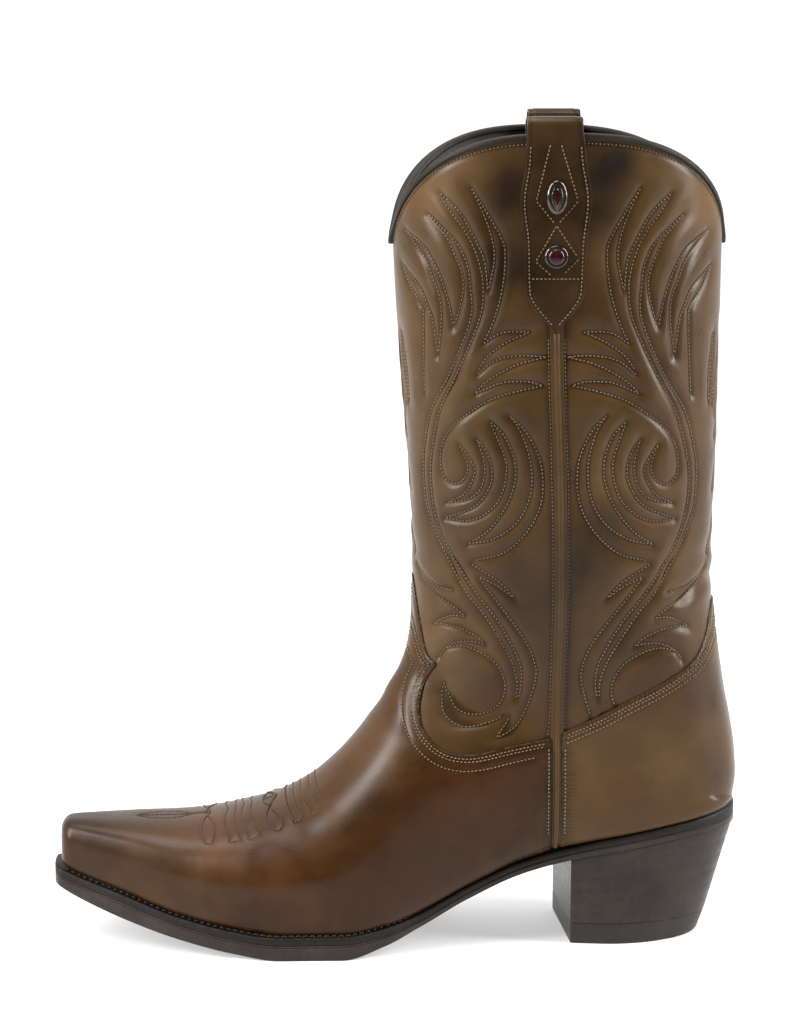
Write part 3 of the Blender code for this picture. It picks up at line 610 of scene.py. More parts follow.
def section_point(station, turn):
    """Point of a section. The turn runs from -1, outer edge, over the top at 0 to 1, inner edge."""
    station, turn = np.broadcast_arrays(np.asarray(station, float), np.asarray(turn, float))
    x, z, along_x, along_z = section_frame(station)
    near, far, eased = section_span(station)
    side = np.where(turn < 0.0, -1.0, 1.0)
    width = np.where(turn < 0.0, upper["lateral"](station), upper["medial"](station))
    width = width * toe_taper(station)
    middle = upper["sway"](station)
    widest = upper["widest"](station)
    quarter = np.abs(turn) * math.pi
    over = np.clip(quarter, 0.0, math.pi / 2)
    below = np.clip(quarter - math.pi / 2, 0.0, math.pi / 2)
    crown = 2.0 / upper["crown"](station)
    flank = 2.0 / flank_power(station)
    share = widest * (1.0 - np.cos(over) ** crown) + (1.0 - widest) * np.sin(below) ** flank
    soft_outer, soft_inner = (np.interp(station, REACH_STATIONS, row) for row in (EASED_OUTER, EASED_INNER))
    soft_y = np.where(turn < 0.0, soft_outer, soft_inner)
    edge_y = soft_y + (edge_across(station, far, side) - soft_y) * edge_share(share)
    side_y = middle + side * width
    low_y = edge_y + (side_y - edge_y) * np.abs(np.cos(below)) ** flank
    y = np.where(quarter <= math.pi / 2, middle + side * width * np.sin(over) ** crown, low_y)
    reach = reach_at(share, near, far, eased)
    return np.stack([x + reach * along_x, y, z + reach * along_z], axis=-1)


def upper_point(station, turn):
    """Outer surface of the upper, eased where upright, turning and level sections join."""
    station, turn = np.broadcast_arrays(np.asarray(station, float), np.asarray(turn, float))
    points = section_point(station, turn)
    for joint in (0.0, TURN):
        near = np.abs(station - joint) < 2.0 * JOINT_SPAN
        if not near.any():
            continue
        s, t = station[near], turn[near]
        beside = [section_point(s + step, t) for step in JOINT_STEPS]
        eased = np.mean([points[near], *beside], axis=0)
        along = beside[-1] - beside[0]
        across = section_point(s, np.minimum(t + 0.02, 1.0)) - section_point(s, np.maximum(t - 0.02, -1.0))
        normal = unit(np.cross(along, across))
        close = smooth_step(2.0 - np.abs(s - joint) / JOINT_SPAN)
        push = np.sum((eased - points[near]) * normal, axis=-1) * close
        points[near] = points[near] + normal * push[:, None]
    return points


def side_turn(x, z):
    """Station and turn of the upper's point that is seen at x and z from the side."""
    x, z = np.asarray(x, float), np.asarray(z, float)
    angle = np.degrees(np.arctan2(PIVOT_Z - z, x - PIVOT_X))
    low = np.where(x <= PIVOT_X, x - PIVOT_X, TURN - angle)
    station = np.where(z >= PIVOT_Z, TURN + z - PIVOT_Z, low)
    start_x, start_z, along_x, along_z = section_frame(station)
    reach = (x - start_x) * along_x + (z - start_z) * along_z
    near, far, eased = section_span(station)
    share = np.clip((reach - near) / (far - near), 0.0, 1.0)
    for _ in range(6):
        whole = reach_at(share, near, far, eased) - near
        share = np.clip(share * (reach - near) / np.maximum(whole, 1e-6), 0.0, 1.0)
    widest = upper["widest"](station)
    over = np.clip(1.0 - share / widest, 0.0, 1.0) ** (upper["crown"](station) / 2)
    below = np.clip((share - widest) / (1.0 - widest), 0.0, 1.0) ** (flank_power(station) / 2)
    turn = np.where(share < widest, np.arccos(over), math.pi / 2 + np.arcsin(below)) / math.pi
    return station, turn


def side_point(x, z, side):
    """Point of the upper's outer surface seen at x and z, on the outer (-1) or inner (1) side."""
    station, turn = side_turn(x, z)
    return upper_point(station, side * turn)


def upper_normal(station, turn):
    """Outward direction of the upper's surface."""
    step_s, step_t = 0.25, 0.003
    ahead = np.minimum(turn + step_t, 1.0)
    behind = np.maximum(turn - step_t, -1.0)
    across = upper_point(station, ahead) - upper_point(station, behind)
    low = np.maximum(station - step_s, TOE_FACE - PIVOT_X)
    along = upper_point(station + step_s, turn) - upper_point(low, turn)
    return unit(np.cross(along, across))


def collar_height(turn):
    """Top of the upper at the collar: scalloped, high at the sides and low at front and back."""
    across = np.abs(np.cos(np.abs(turn) * math.pi))
    arch = np.sqrt(np.clip(1.0 - across**COLLAR_POWER, 0.0, 1.0))
    return COLLAR_DIP + (COLLAR_PEAK - COLLAR_DIP) * arch


def smooth_path(points, step):
    """A Catmull-Rom curve through points of the plane, as closely spaced points."""
    points = np.asarray(points, float)
    ends = np.vstack([2 * points[0] - points[1], points, 2 * points[-1] - points[-2]])
    pieces = []
    for a, b, c, d in zip(ends[:-3], ends[1:-2], ends[2:-1], ends[3:]):
        count = max(2, int(np.linalg.norm(c - b) / step))
        t = np.linspace(0.0, 1.0, count, endpoint=False)[:, None]
        spline = 2 * b + (c - a) * t + (2 * a - 5 * b + 4 * c - d) * t**2 + (3 * b - a - 3 * c + d) * t**3
        pieces.append(spline / 2)
    return np.vstack(pieces + [points[-1:]])


def evenly(path, pitch, offset=0.0):
    """Points at an even pitch along a path, starting an offset in."""
    lengths = lengths_along(path)
    places = np.arange(offset, lengths[-1], pitch)
    return np.column_stack([np.interp(places, lengths, column) for column in path.T])


def camera_axes():
    """Right, up and forward directions of the photograph's camera."""
    tilt, turn = math.radians(CAMERA_TILT), math.radians(CAMERA_TURN)
    right = np.array((math.cos(turn), math.sin(turn), 0.0))
    forward = np.array((-math.sin(turn) * math.sin(tilt), math.cos(turn) * math.sin(tilt), -math.cos(tilt)))
    return right, np.cross(right, forward), forward


def from_photo(pixels):
    """Side-view x and z of the outer side's points that the photograph shows at the pixels."""
    pixels = np.asarray(pixels, float)
    right, up, forward = camera_axes()
    ray = forward * FOCUS_PX
    ray = ray + (pixels[:, :1] - PHOTO_WIDTH / 2) * right + (PHOTO_HEIGHT / 2 - pixels[:, 1:]) * up
    y = np.full(len(pixels), -40.0)
    for _ in range(30):
        far = (y - CAMERA_PLACE[1]) / ray[:, 1]
        x = CAMERA_PLACE[0] + far * ray[:, 0]
        z = CAMERA_PLACE[2] + far * ray[:, 2]
        y = 0.5 * y + 0.5 * side_point(x, z, -1.0)[:, 1]
    return np.column_stack([x, z])


# Distance round the shaft from the line at half a turn, as a table over stations and turns
ARC_STATIONS = np.linspace(56.0, 285.0, 300)
ARC_TURNS = np.linspace(0.0, 1.0, 241)


def arc_table():
    rows = upper_point(ARC_STATIONS[:, None], -ARC_TURNS[None, :])
    steps = np.linalg.norm(np.diff(rows, axis=1), axis=2)
    table = np.concatenate([np.zeros((len(rows), 1)), np.cumsum(steps, axis=1)], axis=1)
    return table - table[:, [len(ARC_TURNS) // 2]]


ARCS = arc_table()


def arc(station, turn):
    """Distance round the shaft to a point, negative towards the front."""
    step = ARC_STATIONS[1] - ARC_STATIONS[0]
    i = np.clip((station - ARC_STATIONS[0]) / step, 0, len(ARC_STATIONS) - 1.001)
    j = np.clip(np.abs(turn) / ARC_TURNS[1], 0, len(ARC_TURNS) - 1.001)
    a, b = i.astype(int), j.astype(int)
    f, g = i - a, j - b
    low = ARCS[a, b] * (1 - g) + ARCS[a, b + 1] * g
    high = ARCS[a + 1, b] * (1 - g) + ARCS[a + 1, b + 1] * g
    return low * (1 - f) + high * f


SEAM_HEIGHTS = np.linspace(60.0, 346.0, 240)
SEAM_ARCS = {side: arc(*side_turn(seam_line(SEAM_HEIGHTS, side), SEAM_HEIGHTS)) for side in SIDES}


def from_seam(station, turn, z):
    """Distance round the shaft from the side seam, positive towards the back."""
    seam = np.where(
        turn < 0.0,
        np.interp(z, SEAM_HEIGHTS, SEAM_ARCS[-1.0]),
        np.interp(z, SEAM_HEIGHTS, SEAM_ARCS[1.0]),
    )
    return arc(station, turn) - seam


def on_quarter(away, z, side, facing):
    """Station and turn of points at a distance from the seam and a height; facing is -1 for the front."""
    target = facing * away + np.interp(z, SEAM_HEIGHTS, SEAM_ARCS[side])
    station = TURN + z - PIVOT_Z
    for _ in range(8):
        turn = halving(np.zeros_like(z), np.ones_like(z), lambda at: arc(station, at) >= target, 22)
        point = upper_point(station, side * turn)
        arm = np.where(station < TURN, np.radians(point[:, 0] - PIVOT_X), 1.0)
        station = station + np.clip((z - point[:, 2]) / arm, -8.0, 8.0)
    return station, side * turn


def charted_flames():
    """Lines of the front quarter as distance from the seam and height."""
    lines = {}
    for name, pixels in FLAMES.items():
        place = from_photo(pixels)
        station, turn = side_turn(place[:, 0], place[:, 1])
        away = -from_seam(station, -turn, place[:, 1])
        lines[name] = smooth_path(np.column_stack([away, place[:, 1]]), CHART_STEP)
    for k, row in enumerate(LICKS):
        lick = dict(zip(LICK_COLUMNS, row))
        tip = np.array((lick["tip"], lick["tip_height"]))
        root = np.array((lick["root"], lick["root_height"]))
        for edge in (-1.0, 1.0):
            bow = edge * lick["bow"] * np.array(LICK_LEAN)
            lines["lick_%d_%d" % (k, edge)] = smooth_path((tip, (tip + root) / 2 + bow, root), CHART_STEP)
    return lines


def nearest(places, samples):
    """Distance from each place to the nearest of the samples, both in the plane."""
    tree = tree_of(samples)
    return np.array([tree.find((a, b, 0.0))[2] for a, b in places])


def inside_outline(x, z, outline):
    """Signed distance to a closed outline in side view, positive inside."""
    place = np.column_stack([x.ravel(), z.ravel()])
    start, end = outline, np.roll(outline, -1, axis=0)
    closest = np.full(len(place), 1e9)
    inside = np.zeros(len(place), bool)
    for a, b in zip(start, end):
        line = b - a
        t = np.clip((place - a) @ line / max(line @ line, 1e-12), 0.0, 1.0)
        closest = np.minimum(closest, np.linalg.norm(place - a - t[:, None] * line, axis=1))
        crosses = (a[1] > place[:, 1]) != (b[1] > place[:, 1])
        rise = b[1] - a[1] if b[1] != a[1] else 1e-12
        inside ^= crosses & (place[:, 0] < a[0] + (place[:, 1] - a[1]) / rise * line[0])
    return np.where(inside, closest, -closest).reshape(x.shape)


def vamp_edge():
    return np.vstack([smooth_path(VAMP_TONGUE, 1.0), smooth_path(VAMP_DIP, 1.0)[1:]])


def vamp_outline():
    seam = SEAM_X - SEAM_HALF
    ahead = TOE_TIP - 20.0
    return np.vstack([vamp_edge(), [(seam, 0.0), (ahead, 0.0), (ahead, VAMP_TONGUE[0][1])]])


def counter_outline():
    behind = HEEL_BACK + 20.0
    edge = smooth_path(COUNTER_EDGE, 1.0)
    return np.vstack([edge, [(behind, edge[-1, 1] + 6.0), (behind, 0.0), (edge[0, 0], 0.0)]])


GRAIN_DEPTH = 0.0004
ROUGH_RANGE = 0.08


def feed(tree, made, inputs):
    """Sets a node's inputs, each from another node's output or to a value."""
    for key, value in inputs.items():
        if isinstance(value, bpy.types.NodeSocket):
            tree.links.new(value, made.inputs[key])
        else:
            made.inputs[key].default_value = value


def node(tree, kind, inputs=None, **settings):
    made = tree.nodes.new(kind)
    for key, value in settings.items():
        setattr(made, key, value)
    feed(tree, made, inputs or {})
    return made


def blend(tree, share, first, second):
    """Colour mixed from first to second."""
    first, second = (c if isinstance(c, bpy.types.NodeSocket) else (*c, 1.0) for c in (first, second))
    return node(tree, "ShaderNodeMix", {0: share, 6: first, 7: second}, data_type="RGBA").outputs[2]


def noise(tree, scale, detail=4.0, rough=0.55, seed=0.0):
    coords = node(tree, "ShaderNodeTexCoord").outputs["Object"]
    shift = (seed, seed * 0.7, seed * 1.3)
    moved = node(tree, "ShaderNodeVectorMath", {0: coords, 1: shift}, operation="ADD")
    made = node(
        tree, "ShaderNodeTexNoise",
        {"Vector": moved.outputs[0], "Scale": scale, "Detail": detail, "Roughness": rough},
    )
    return made.outputs["Fac"]


def spread(tree, value, low, high, to_low=0.0, to_high=1.0):
    made = node(
        tree, "ShaderNodeMapRange",
        {"Value": value, "From Min": low, "From Max": high, "To Min": to_low, "To Max": to_high},
    )
    return made.outputs["Result"]


def attribute(tree, name):
    return node(tree, "ShaderNodeAttribute", attribute_name=name).outputs["Fac"]


def math_node(tree, operation, first, second):
    return node(tree, "ShaderNodeMath", {0: first, 1: second}, operation=operation).outputs[0]


def new_material(name):
    made = bpy.data.materials.new(name)
    made.use_nodes = True
    return made, made.node_tree, made.node_tree.nodes["Principled BSDF"]


def add_bump(tree, shader, height, strength, distance):
    bump = node(tree, "ShaderNodeBump", {"Height": height, "Strength": strength, "Distance": distance})
    feed(tree, shader, {"Normal": bump.outputs[0]})


def leather_material(name, deep, body, pale, rust, smoke):
    """Waxed pull-up leather: clouded tones, rust and smoke zones, painted shade in grooves, fine grain,
    soft gloss.
    """
    made, tree, shader = new_material(name)
    cloud = spread(tree, noise(tree, 22.0, 2.0, 0.5), 0.30, 0.70)
    mottle = spread(tree, noise(tree, 90.0, 2.0, 0.45, 3.1), 0.28, 0.72)
    broad = spread(tree, cloud, 0.0, 1.0, 0.18, 0.42)
    shade = math_node(tree, "ADD", broad, spread(tree, mottle, 0.0, 1.0, 0.06, 0.22))
    shade = math_node(tree, "ADD", shade, attribute(tree, "tone"))
    colour = blend(tree, spread(tree, shade, 0.0, 0.5), deep, body)
    colour = blend(tree, spread(tree, shade, 0.5, 1.1), colour, pale)
    rusty = math_node(tree, "MULTIPLY", attribute(tree, "warm"), spread(tree, mottle, 0.0, 1.0, 0.55, 1.0))
    colour = blend(tree, rusty, colour, rust)
    smoky = math_node(tree, "MULTIPLY", attribute(tree, "smoke"), spread(tree, cloud, 0.0, 1.0, 0.6, 1.0))
    colour = blend(tree, smoky, colour, smoke)
    # Painted shade: the per-point attribute darkens the colour in stitch grooves, at overlay and strap
    # edges and on the strap's inner face
    dark = math_node(tree, "MULTIPLY", attribute(tree, "painted_shade"), 0.6)
    colour = blend(tree, dark, colour, tuple(0.3 * c for c in deep))
    grain = noise(tree, 900.0, 1.0, 0.5, 1.7)
    fine = noise(tree, 300.0, 2.0, 0.5, 5.3)
    rough = spread(tree, mottle, 0.0, 1.0, 0.27, 0.37)
    rough = math_node(tree, "ADD", rough, spread(tree, grain, 0.3, 0.7, -0.03, 0.05))
    feed(tree, shader, {"Base Color": colour, "Roughness": rough})
    height = math_node(tree, "MULTIPLY", fine, 0.65)
    height = math_node(tree, "ADD", math_node(tree, "MULTIPLY", grain, 0.35), height)
    add_bump(tree, shader, height, 0.10, GRAIN_DEPTH)
    feed(tree, shader, {"Coat Weight": 0.08, "Coat Roughness": 0.24, "Specular IOR Level": 0.15})
    return made


def plain_material(name, deep, pale, rough, grain, bump, coat=0.0, metallic=0.0, specular=0.3):
    """A clouded surface with fine grain in its colour, roughness and bump."""
    made, tree, shader = new_material(name)
    cloud = spread(tree, noise(tree, 60.0, 5.0, 0.6, 2.2), 0.3, 0.7)
    fine = noise(tree, grain, 4.0, 0.6, 4.4)
    colour = blend(tree, cloud, deep, pale)
    colour = blend(tree, spread(tree, fine, 0.35, 0.65, 0.0, 0.35), colour, tuple(0.5 * c for c in deep))
    worn = spread(tree, fine, 0.3, 0.7, rough - ROUGH_RANGE, rough + ROUGH_RANGE)
    add_bump(tree, shader, fine, bump, GRAIN_DEPTH)
    feed(tree, shader, {"Base Color": colour, "Roughness": worn, "Metallic": metallic})
    feed(tree, shader, {"Coat Weight": coat, "Coat Roughness": 0.3, "Specular IOR Level": specular})
    return made


def stone_material():
    made, tree, shader = new_material("red_stone")
    glow = spread(tree, noise(tree, 500.0, 2.0, 0.5, 7.7), 0.3, 0.7)
    colour = blend(tree, glow, (0.012, 0.0012, 0.001), (0.042, 0.0045, 0.0025))
    feed(tree, shader, {"Base Color": colour, "Roughness": spread(tree, glow, 0.0, 1.0, 0.06, 0.14)})
    feed(tree, shader, {"Coat Weight": 0.3, "Coat Roughness": 0.05, "Specular IOR Level": 0.3})
    return made


LEATHER = leather_material(
    "oiled_leather", (0.0130, 0.0060, 0.0015), (0.064, 0.0335, 0.0105), (0.150, 0.086, 0.034),
    (0.068, 0.0225, 0.0045), (0.014, 0.010, 0.009),
)
LINING = plain_material("lining_leather", (0.030, 0.024, 0.019), (0.055, 0.044, 0.035), 0.62, 900.0, 0.25)
INSOLE_LEATHER = plain_material("insole_leather", (0.16, 0.10, 0.055), (0.24, 0.16, 0.09), 0.6, 900.0, 0.25)
BINDING = plain_material(
    "binding_leather", (0.009, 0.007, 0.005), (0.024, 0.018, 0.013), 0.5, 1200.0, 0.3, specular=0.2
)
THREAD = plain_material("tan_thread", (0.135, 0.083, 0.036), (0.225, 0.142, 0.064), 0.65, 2600.0, 0.5)
DARK_THREAD = plain_material("brown_thread", (0.060, 0.032, 0.014), (0.120, 0.066, 0.030), 0.6, 2600.0, 0.5)
# Near-black: painted shade inside the needle holes; the studs also use it for the lines round their stones
HOLE = plain_material("needle_hole", (0.004, 0.003, 0.002), (0.008, 0.005, 0.003), 0.8, 2000.0, 0.2)
WELT = plain_material(
    "black_welt", (0.006, 0.005, 0.004), (0.014, 0.011, 0.009), 0.5, 700.0, 0.6, specular=0.2
)
SOLE_EDGE = plain_material(
    "sole_leather", (0.0175, 0.0130, 0.0105), (0.0350, 0.0260, 0.0205), 0.36, 500.0, 0.2,
    coat=0.05, specular=0.2,
)
CAP_RUBBER = plain_material(
    "cap_rubber", (0.014, 0.010, 0.008), (0.024, 0.018, 0.015), 0.45, 800.0, 0.2, coat=0.05
)
METAL = plain_material(
    "aged_metal", (0.045, 0.038, 0.032), (0.150, 0.130, 0.110), 0.22, 700.0, 0.2, metallic=1.0
)
STONE = stone_material()


def add_object(name, data):
    made = bpy.data.objects.new(name, data)
    bpy.context.scene.collection.objects.link(made)
    return made


def mesh_object(name, points, faces, made_of, attributes=None, sharp=None, shades=None):
    """One object from points in millimetres that rides on the boot."""
    moved = (np.asarray(points, float).reshape(-1, 3) + ORIGIN_SHIFT) * MM
    mesh = bpy.data.meshes.new(name)
    mesh.from_pydata(moved.tolist(), [], faces if isinstance(faces, list) else faces.tolist())
    materials = made_of if isinstance(made_of, (list, tuple)) else (made_of,)
    for each in materials:
        mesh.materials.append(each)
    if shades is not None:
        mesh.polygons.foreach_set("material_index", np.asarray(shades, np.int32))
    for key, values in (attributes or {}).items():
        layer = mesh.attributes.new(key, "FLOAT", "POINT")
        layer.data.foreach_set("value", np.asarray(values, np.float32))
    mesh.shade_smooth()
    if sharp is not None:
        mesh.set_sharp_from_angle(angle=math.radians(sharp))
    mesh.validate()
    made = add_object(name, mesh)
    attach(made, "root")
    return made


def grid_faces(rows, columns, wrap=False):
    i, j = np.meshgrid(np.arange(rows - 1), np.arange(columns if wrap else columns - 1), indexing="ij")
    a = i * columns + j
    b = i * columns + (j + 1) % columns
    return np.stack([a, b, b + columns, a + columns], axis=-1).reshape(-1, 4)


def weld(made, distance=2e-6):
    build = bmesh.new()
    build.from_mesh(made.data)
    bmesh.ops.remove_doubles(build, verts=build.verts, dist=distance)
    build.to_mesh(made.data)
    build.free()
    return made


def clipped(stations, turns, keep):
    """Grid of a panel cut along keep = 0: stations, turns, keep, faces, and the edges of the cut."""
    rows, columns = stations.shape
    station, turn, inside = (list(grid.ravel()) for grid in (stations, turns, keep))
    quads = grid_faces(rows, columns)
    above = keep.ravel()[quads] > 0.0
    faces = [tuple(quad) for quad in quads[above.all(axis=1)].tolist()]
    cuts, made = [], {}

    def crossing(a, b):
        key = (min(a, b), max(a, b))
        if key not in made:
            f = inside[a] / (inside[a] - inside[b])
            made[key] = len(station)
            station.append(station[a] + f * (station[b] - station[a]))
            turn.append(turn[a] + f * (turn[b] - turn[a]))
            inside.append(0.0)
        return made[key]

    for quad in quads[above.any(axis=1) & ~above.all(axis=1)].tolist():
        ring, edge = [], []
        for a, b in zip(quad, quad[1:] + quad[:1]):
            if inside[a] > 0.0:
                ring.append(a)
            if (inside[a] > 0.0) != (inside[b] > 0.0):
                ring.append(crossing(a, b))
                edge.append(ring[-1])
        faces.append(tuple(ring))
        for k in range(0, len(edge) - 1, 2):
            cuts.append((edge[k], edge[k + 1]))
    used = np.unique(np.concatenate([np.array(face) for face in faces]))
    place = np.full(len(station), -1)
    place[used] = np.arange(len(used))
    faces = [tuple(place[list(face)].tolist()) for face in faces]
    cuts = [tuple(place[list(edge)].tolist()) for edge in cuts]
    pick = (np.array(column)[used] for column in (station, turn, inside))
    return (*pick, faces, cuts)


# Clouds on the leather: place and size in the photograph, how much paler, rustier, smokier; one is a
# painted highlight
CLOUD_PX_PER_MM = 2.3
CLOUD_COLUMNS = ("across", "down", "radius", "tone", "warm", "smoke")
CLOUDS = (
    (508, 190, 30, -0.46, 0.0, 0.30),
    (508, 265, 30, -0.40, 0.05, 0.25),
    (606, 172, 17, -0.35, 0.0, 0.85),
    (622, 158, 15, -0.20, 0.0, 0.70),
    (600, 215, 22, -0.30, 0.0, 0.45),
    (600, 300, 30, -0.12, 0.25, 0.10),
    (425, 190, 30, 0.32, 0.15, 0.0),
    (470, 160, 30, 0.26, 0.15, 0.0),
    (655, 160, 28, 0.20, 0.10, 0.1),
    (705, 200, 26, 0.34, 0.15, 0.0),
    (415, 330, 30, 0.05, 0.30, 0.0),
    (470, 330, 24, -0.10, 0.0, 0.20),
    (520, 325, 24, -0.08, 0.1, 0.0),
    (430, 640, 30, 0.16, 0.0, 0.0),
    (466, 672, 20, 0.16, 0.0, 0.45),
    (500, 690, 24, -0.28, 0.55, 0.0),
    (520, 600, 32, -0.34, 0.1, 0.15),
    (525, 420, 26, -0.18, 0.05, 0.0),
    (578, 570, 26, -0.26, 0.0, 0.0),
    (605, 530, 22, -0.20, 0.0, 0.30),
    (610, 460, 34, 0.10, 0.0, 0.0),
    (690, 400, 28, 0.0, 0.30, 0.0),
    (640, 640, 30, -0.10, 0.1, 0.25),
    (450, 735, 22, 0.15, 0.0, 0.25),
    (545, 715, 18, 0.0, 0.45, 0.0),
    (380, 740, 34, 0.26, 0.0, 0.0),
    (480, 790, 54, -0.34, 0.30, 0.0),
    (410, 875, 60, -0.55, 0.15, 0.1),
    (215, 845, 30, 0.12, 0.45, 0.0),
    (295, 895, 44, -0.22, 0.35, 0.0),
    (90, 830, 34, -0.15, 0.0, 0.35),
    (330, 790, 36, 0.10, 0.10, 0.0),
    # Painted highlight on the counter's upper bulge
    (670, 760, 36, 0.18, 0.0, 0.0),
    (620, 795, 34, -0.06, 0.30, 0.0),
    (700, 690, 28, -0.22, 0.20, 0.2),
    (722, 770, 26, -0.26, 0.10, 0.0),
)


def clouds(points):
    """Tone, warmth and smoke of points, from the table of clouds, the same on both sides of the boot."""
    table = np.array(CLOUDS, float)
    places = from_photo(table[:, :2])
    result = {key: np.zeros(len(points)) for key in ("tone", "warm", "smoke")}
    for (x, z), row in zip(places, table):
        cloud = dict(zip(CLOUD_COLUMNS, row))
        share = bell(np.hypot(points[:, 0] - x, points[:, 2] - z), cloud["radius"] / CLOUD_PX_PER_MM)
        for key in result:
            result[key] += share * cloud[key]
    for key in ("warm", "smoke"):
        result[key] = np.clip(result[key], 0.0, 1.0)
    return result


# Soft creases in side view: both ends, depth and half width
RIDGE_SHARE = 0.45
RIDGE_PLACE = 1.7
CREASE_COLUMNS = ("x1", "z1", "x2", "z2", "depth", "half")
CREASES = (
    (118.0, 152.0, 133.0, 158.0, 0.5, 3.5),
    (112.0, 164.0, 133.0, 171.0, 0.35, 4.0),
    (6.0, 170.0, 26.0, 164.0, 0.35, 4.5),
    (-18.0, 108.0, 2.0, 96.0, 0.35, 5.0),
    (-60.0, 62.0, -30.0, 44.0, 0.3, 6.0),
    (20.0, 245.0, 36.0, 226.0, 0.3, 6.0),
)


def creases(points):
    """Depth of the listed creases: a soft trough with a low ridge on both sides."""
    lift = np.zeros(len(points))
    place = points[:, [0, 2]]
    for row in CREASES:
        crease = dict(zip(CREASE_COLUMNS, row))
        start = np.array((crease["x1"], crease["z1"]))
        line = np.array((crease["x2"], crease["z2"])) - start
        t = np.clip((place - start) @ line / (line @ line), 0.0, 1.0)
        away = np.linalg.norm(place - start - t[:, None] * line, axis=1) / crease["half"]
        lift += crease["depth"] * (RIDGE_SHARE * bell(away - RIDGE_PLACE, 1.0) - bell(away, 1.0))
    return lift


FLAME_LINES = charted_flames()
FLAME_SAMPLES = np.vstack(list(FLAME_LINES.values()))
VAMP_OUTLINE = vamp_outline()
COUNTER_OUTLINE = counter_outline()
OVERLAY_TOP = OVERLAY_GAP + OVERLAY


def under_overlays(points):
    """How far points lie inside the vamp's or counter's outline in side view, negative outside both."""
    x, z = points[..., 0], points[..., 2]
    return np.maximum(inside_outline(x, z, VAMP_OUTLINE), inside_outline(x, z, COUNTER_OUTLINE))


def pressed(distance):
    """Lift of padded leather at a distance from a row of stitches."""
    return PUFF_HEIGHT * (1.0 - bell(distance, PUFF_HALF)) - GROOVE_DEPTH * bell(distance, GROOVE_HALF)


def shaft_lift(station, turn, points):
    """Padding of the shaft's leather, and the painted shade in its rows of stitches."""
    away = from_seam(station, turn, points[:, 2])
    flame = nearest(np.column_stack([np.abs(away), points[:, 2]]), FLAME_SAMPLES)
    seam = np.abs(np.abs(away) - SEAM_ROW)
    top = collar_height(turn) - points[:, 2] - COLLAR_ROW_DROP
    row = np.minimum(seam, np.abs(top) * COLLAR_ROW_WIDEN)
    lift = pressed(flame) - ROW_DEPTH * bell(row, ROW_HALF) - PUFF_HEIGHT * bell(away, SEAM_FLAT)
    return lift, bell(np.minimum(flame, row), ROW_SHADE_HALF)


def collar_rows(turns, shares):
    """Rows of stations that rise from the collar's base to its scalloped top."""
    rise = collar_height(turns) - COLLAR_BASE
    return [TURN - PIVOT_Z + COLLAR_BASE + rise * share for share in shares]


def shaft_rows(turns):
    ankle = np.linspace(58.0, TURN, 78, endpoint=False)
    middle = np.arange(TURN, TURN + COLLAR_BASE - PIVOT_Z, 0.85)
    rows = [np.full_like(turns, s) for s in np.concatenate([ankle, middle])]
    return np.array(rows + collar_rows(turns, np.linspace(0.0, 1.0, 62)))


def make_shaft(name, start, end, columns):
    """Half of the shaft's outer leather, from side line to side line."""
    turns = np.linspace(start, end, columns)
    signed = np.where(turns > 1.0, turns - 2.0, turns)
    stations = shaft_rows(signed)
    grid = np.broadcast_to(signed, stations.shape)
    bare = UNDERLAP - under_overlays(upper_point(stations, grid))
    station, turn, _, faces, _ = clipped(stations, np.broadcast_to(turns, stations.shape), bare)
    turn = np.where(turn > 1.0, turn - 2.0, turn)
    points = upper_point(station, turn)
    lift, painted_shade = shaft_lift(station, turn, points)
    shades = clouds(points)
    # Painted shade in the stitch rows
    shades["painted_shade"] = painted_shade
    lift = lift + creases(points)
    points = points + upper_normal(station, turn) * lift[:, None]
    return mesh_object(name, points, [face[::-1] for face in faces], LEATHER, shades)


def overlay_lift(points, inside, rows):
    """Height of an overlay, rounded at its edge and pressed in along its rows of stitches, and its painted
    shade at the edge and in the rows.
    """
    near = np.min([np.abs(inside - row) for row in rows], axis=0)
    dip = EDGE_DROP * bell(inside, EDGE_ROUND) + OVERLAY_ROW_DEPTH * bell(near, OVERLAY_ROW_HALF)
    row_shade = OVERLAY_ROW_SHADE * bell(near, OVERLAY_ROW_SHADE_HALF)
    edge_shade = EDGE_SHADE * bell(inside, EDGE_SHADE_HALF)
    return OVERLAY_TOP - dip + creases(points), np.maximum(row_shade, edge_shade)


def overlay_panel(name, stations, turns, outline, rows, tone, warm, extra=None):
    """A leather panel over the upper, cut to its outline, with its edge turned down to the upper."""
    points = upper_point(stations, turns)
    keep = inside_outline(points[..., 0], points[..., 2], outline)
    station, turn, inside, faces, cuts = clipped(stations, turns, keep)
    points = upper_point(station, turn)
    normal = upper_normal(station, turn)
    lift, dark = overlay_lift(points, inside, rows)
    if extra is not None:
        more, shade = extra(station, turn, points)
        lift = lift + more
        dark = np.maximum(dark, shade)
    shades = clouds(points)
    shades["tone"] = shades["tone"] + tone
    shades["warm"] = np.minimum(shades["warm"] + warm, 1.0)
    shades["painted_shade"] = dark
    rim = np.unique(np.array(cuts))
    foot = np.full(len(points), -1)
    foot[rim] = len(points) + np.arange(len(rim))
    skirt = [(a, b, int(foot[b]), int(foot[a])) for a, b in cuts]
    shades = {key: np.concatenate([values, values[rim]]) for key, values in shades.items()}
    # Painted shade: the turned-down edge is made fully dark
    shades["painted_shade"][len(points):] = 1.0
    placed = np.vstack([points + normal * lift[:, None], points[rim] + normal[rim] * OVERLAY_FOOT])
    faces = [face[::-1] for face in faces] + skirt
    return mesh_object(name, placed, faces, LEATHER, shades)


def foot_rows(first, last, step):
    """Stations from first to last, with a row on both sides of the heel's corner."""
    rows = np.arange(first, last, step)
    rows = rows[np.abs(rows - HEEL_STATION) > 0.2]
    return np.sort(np.append(rows, [HEEL_STATION - 0.05, HEEL_STATION + 0.05]))


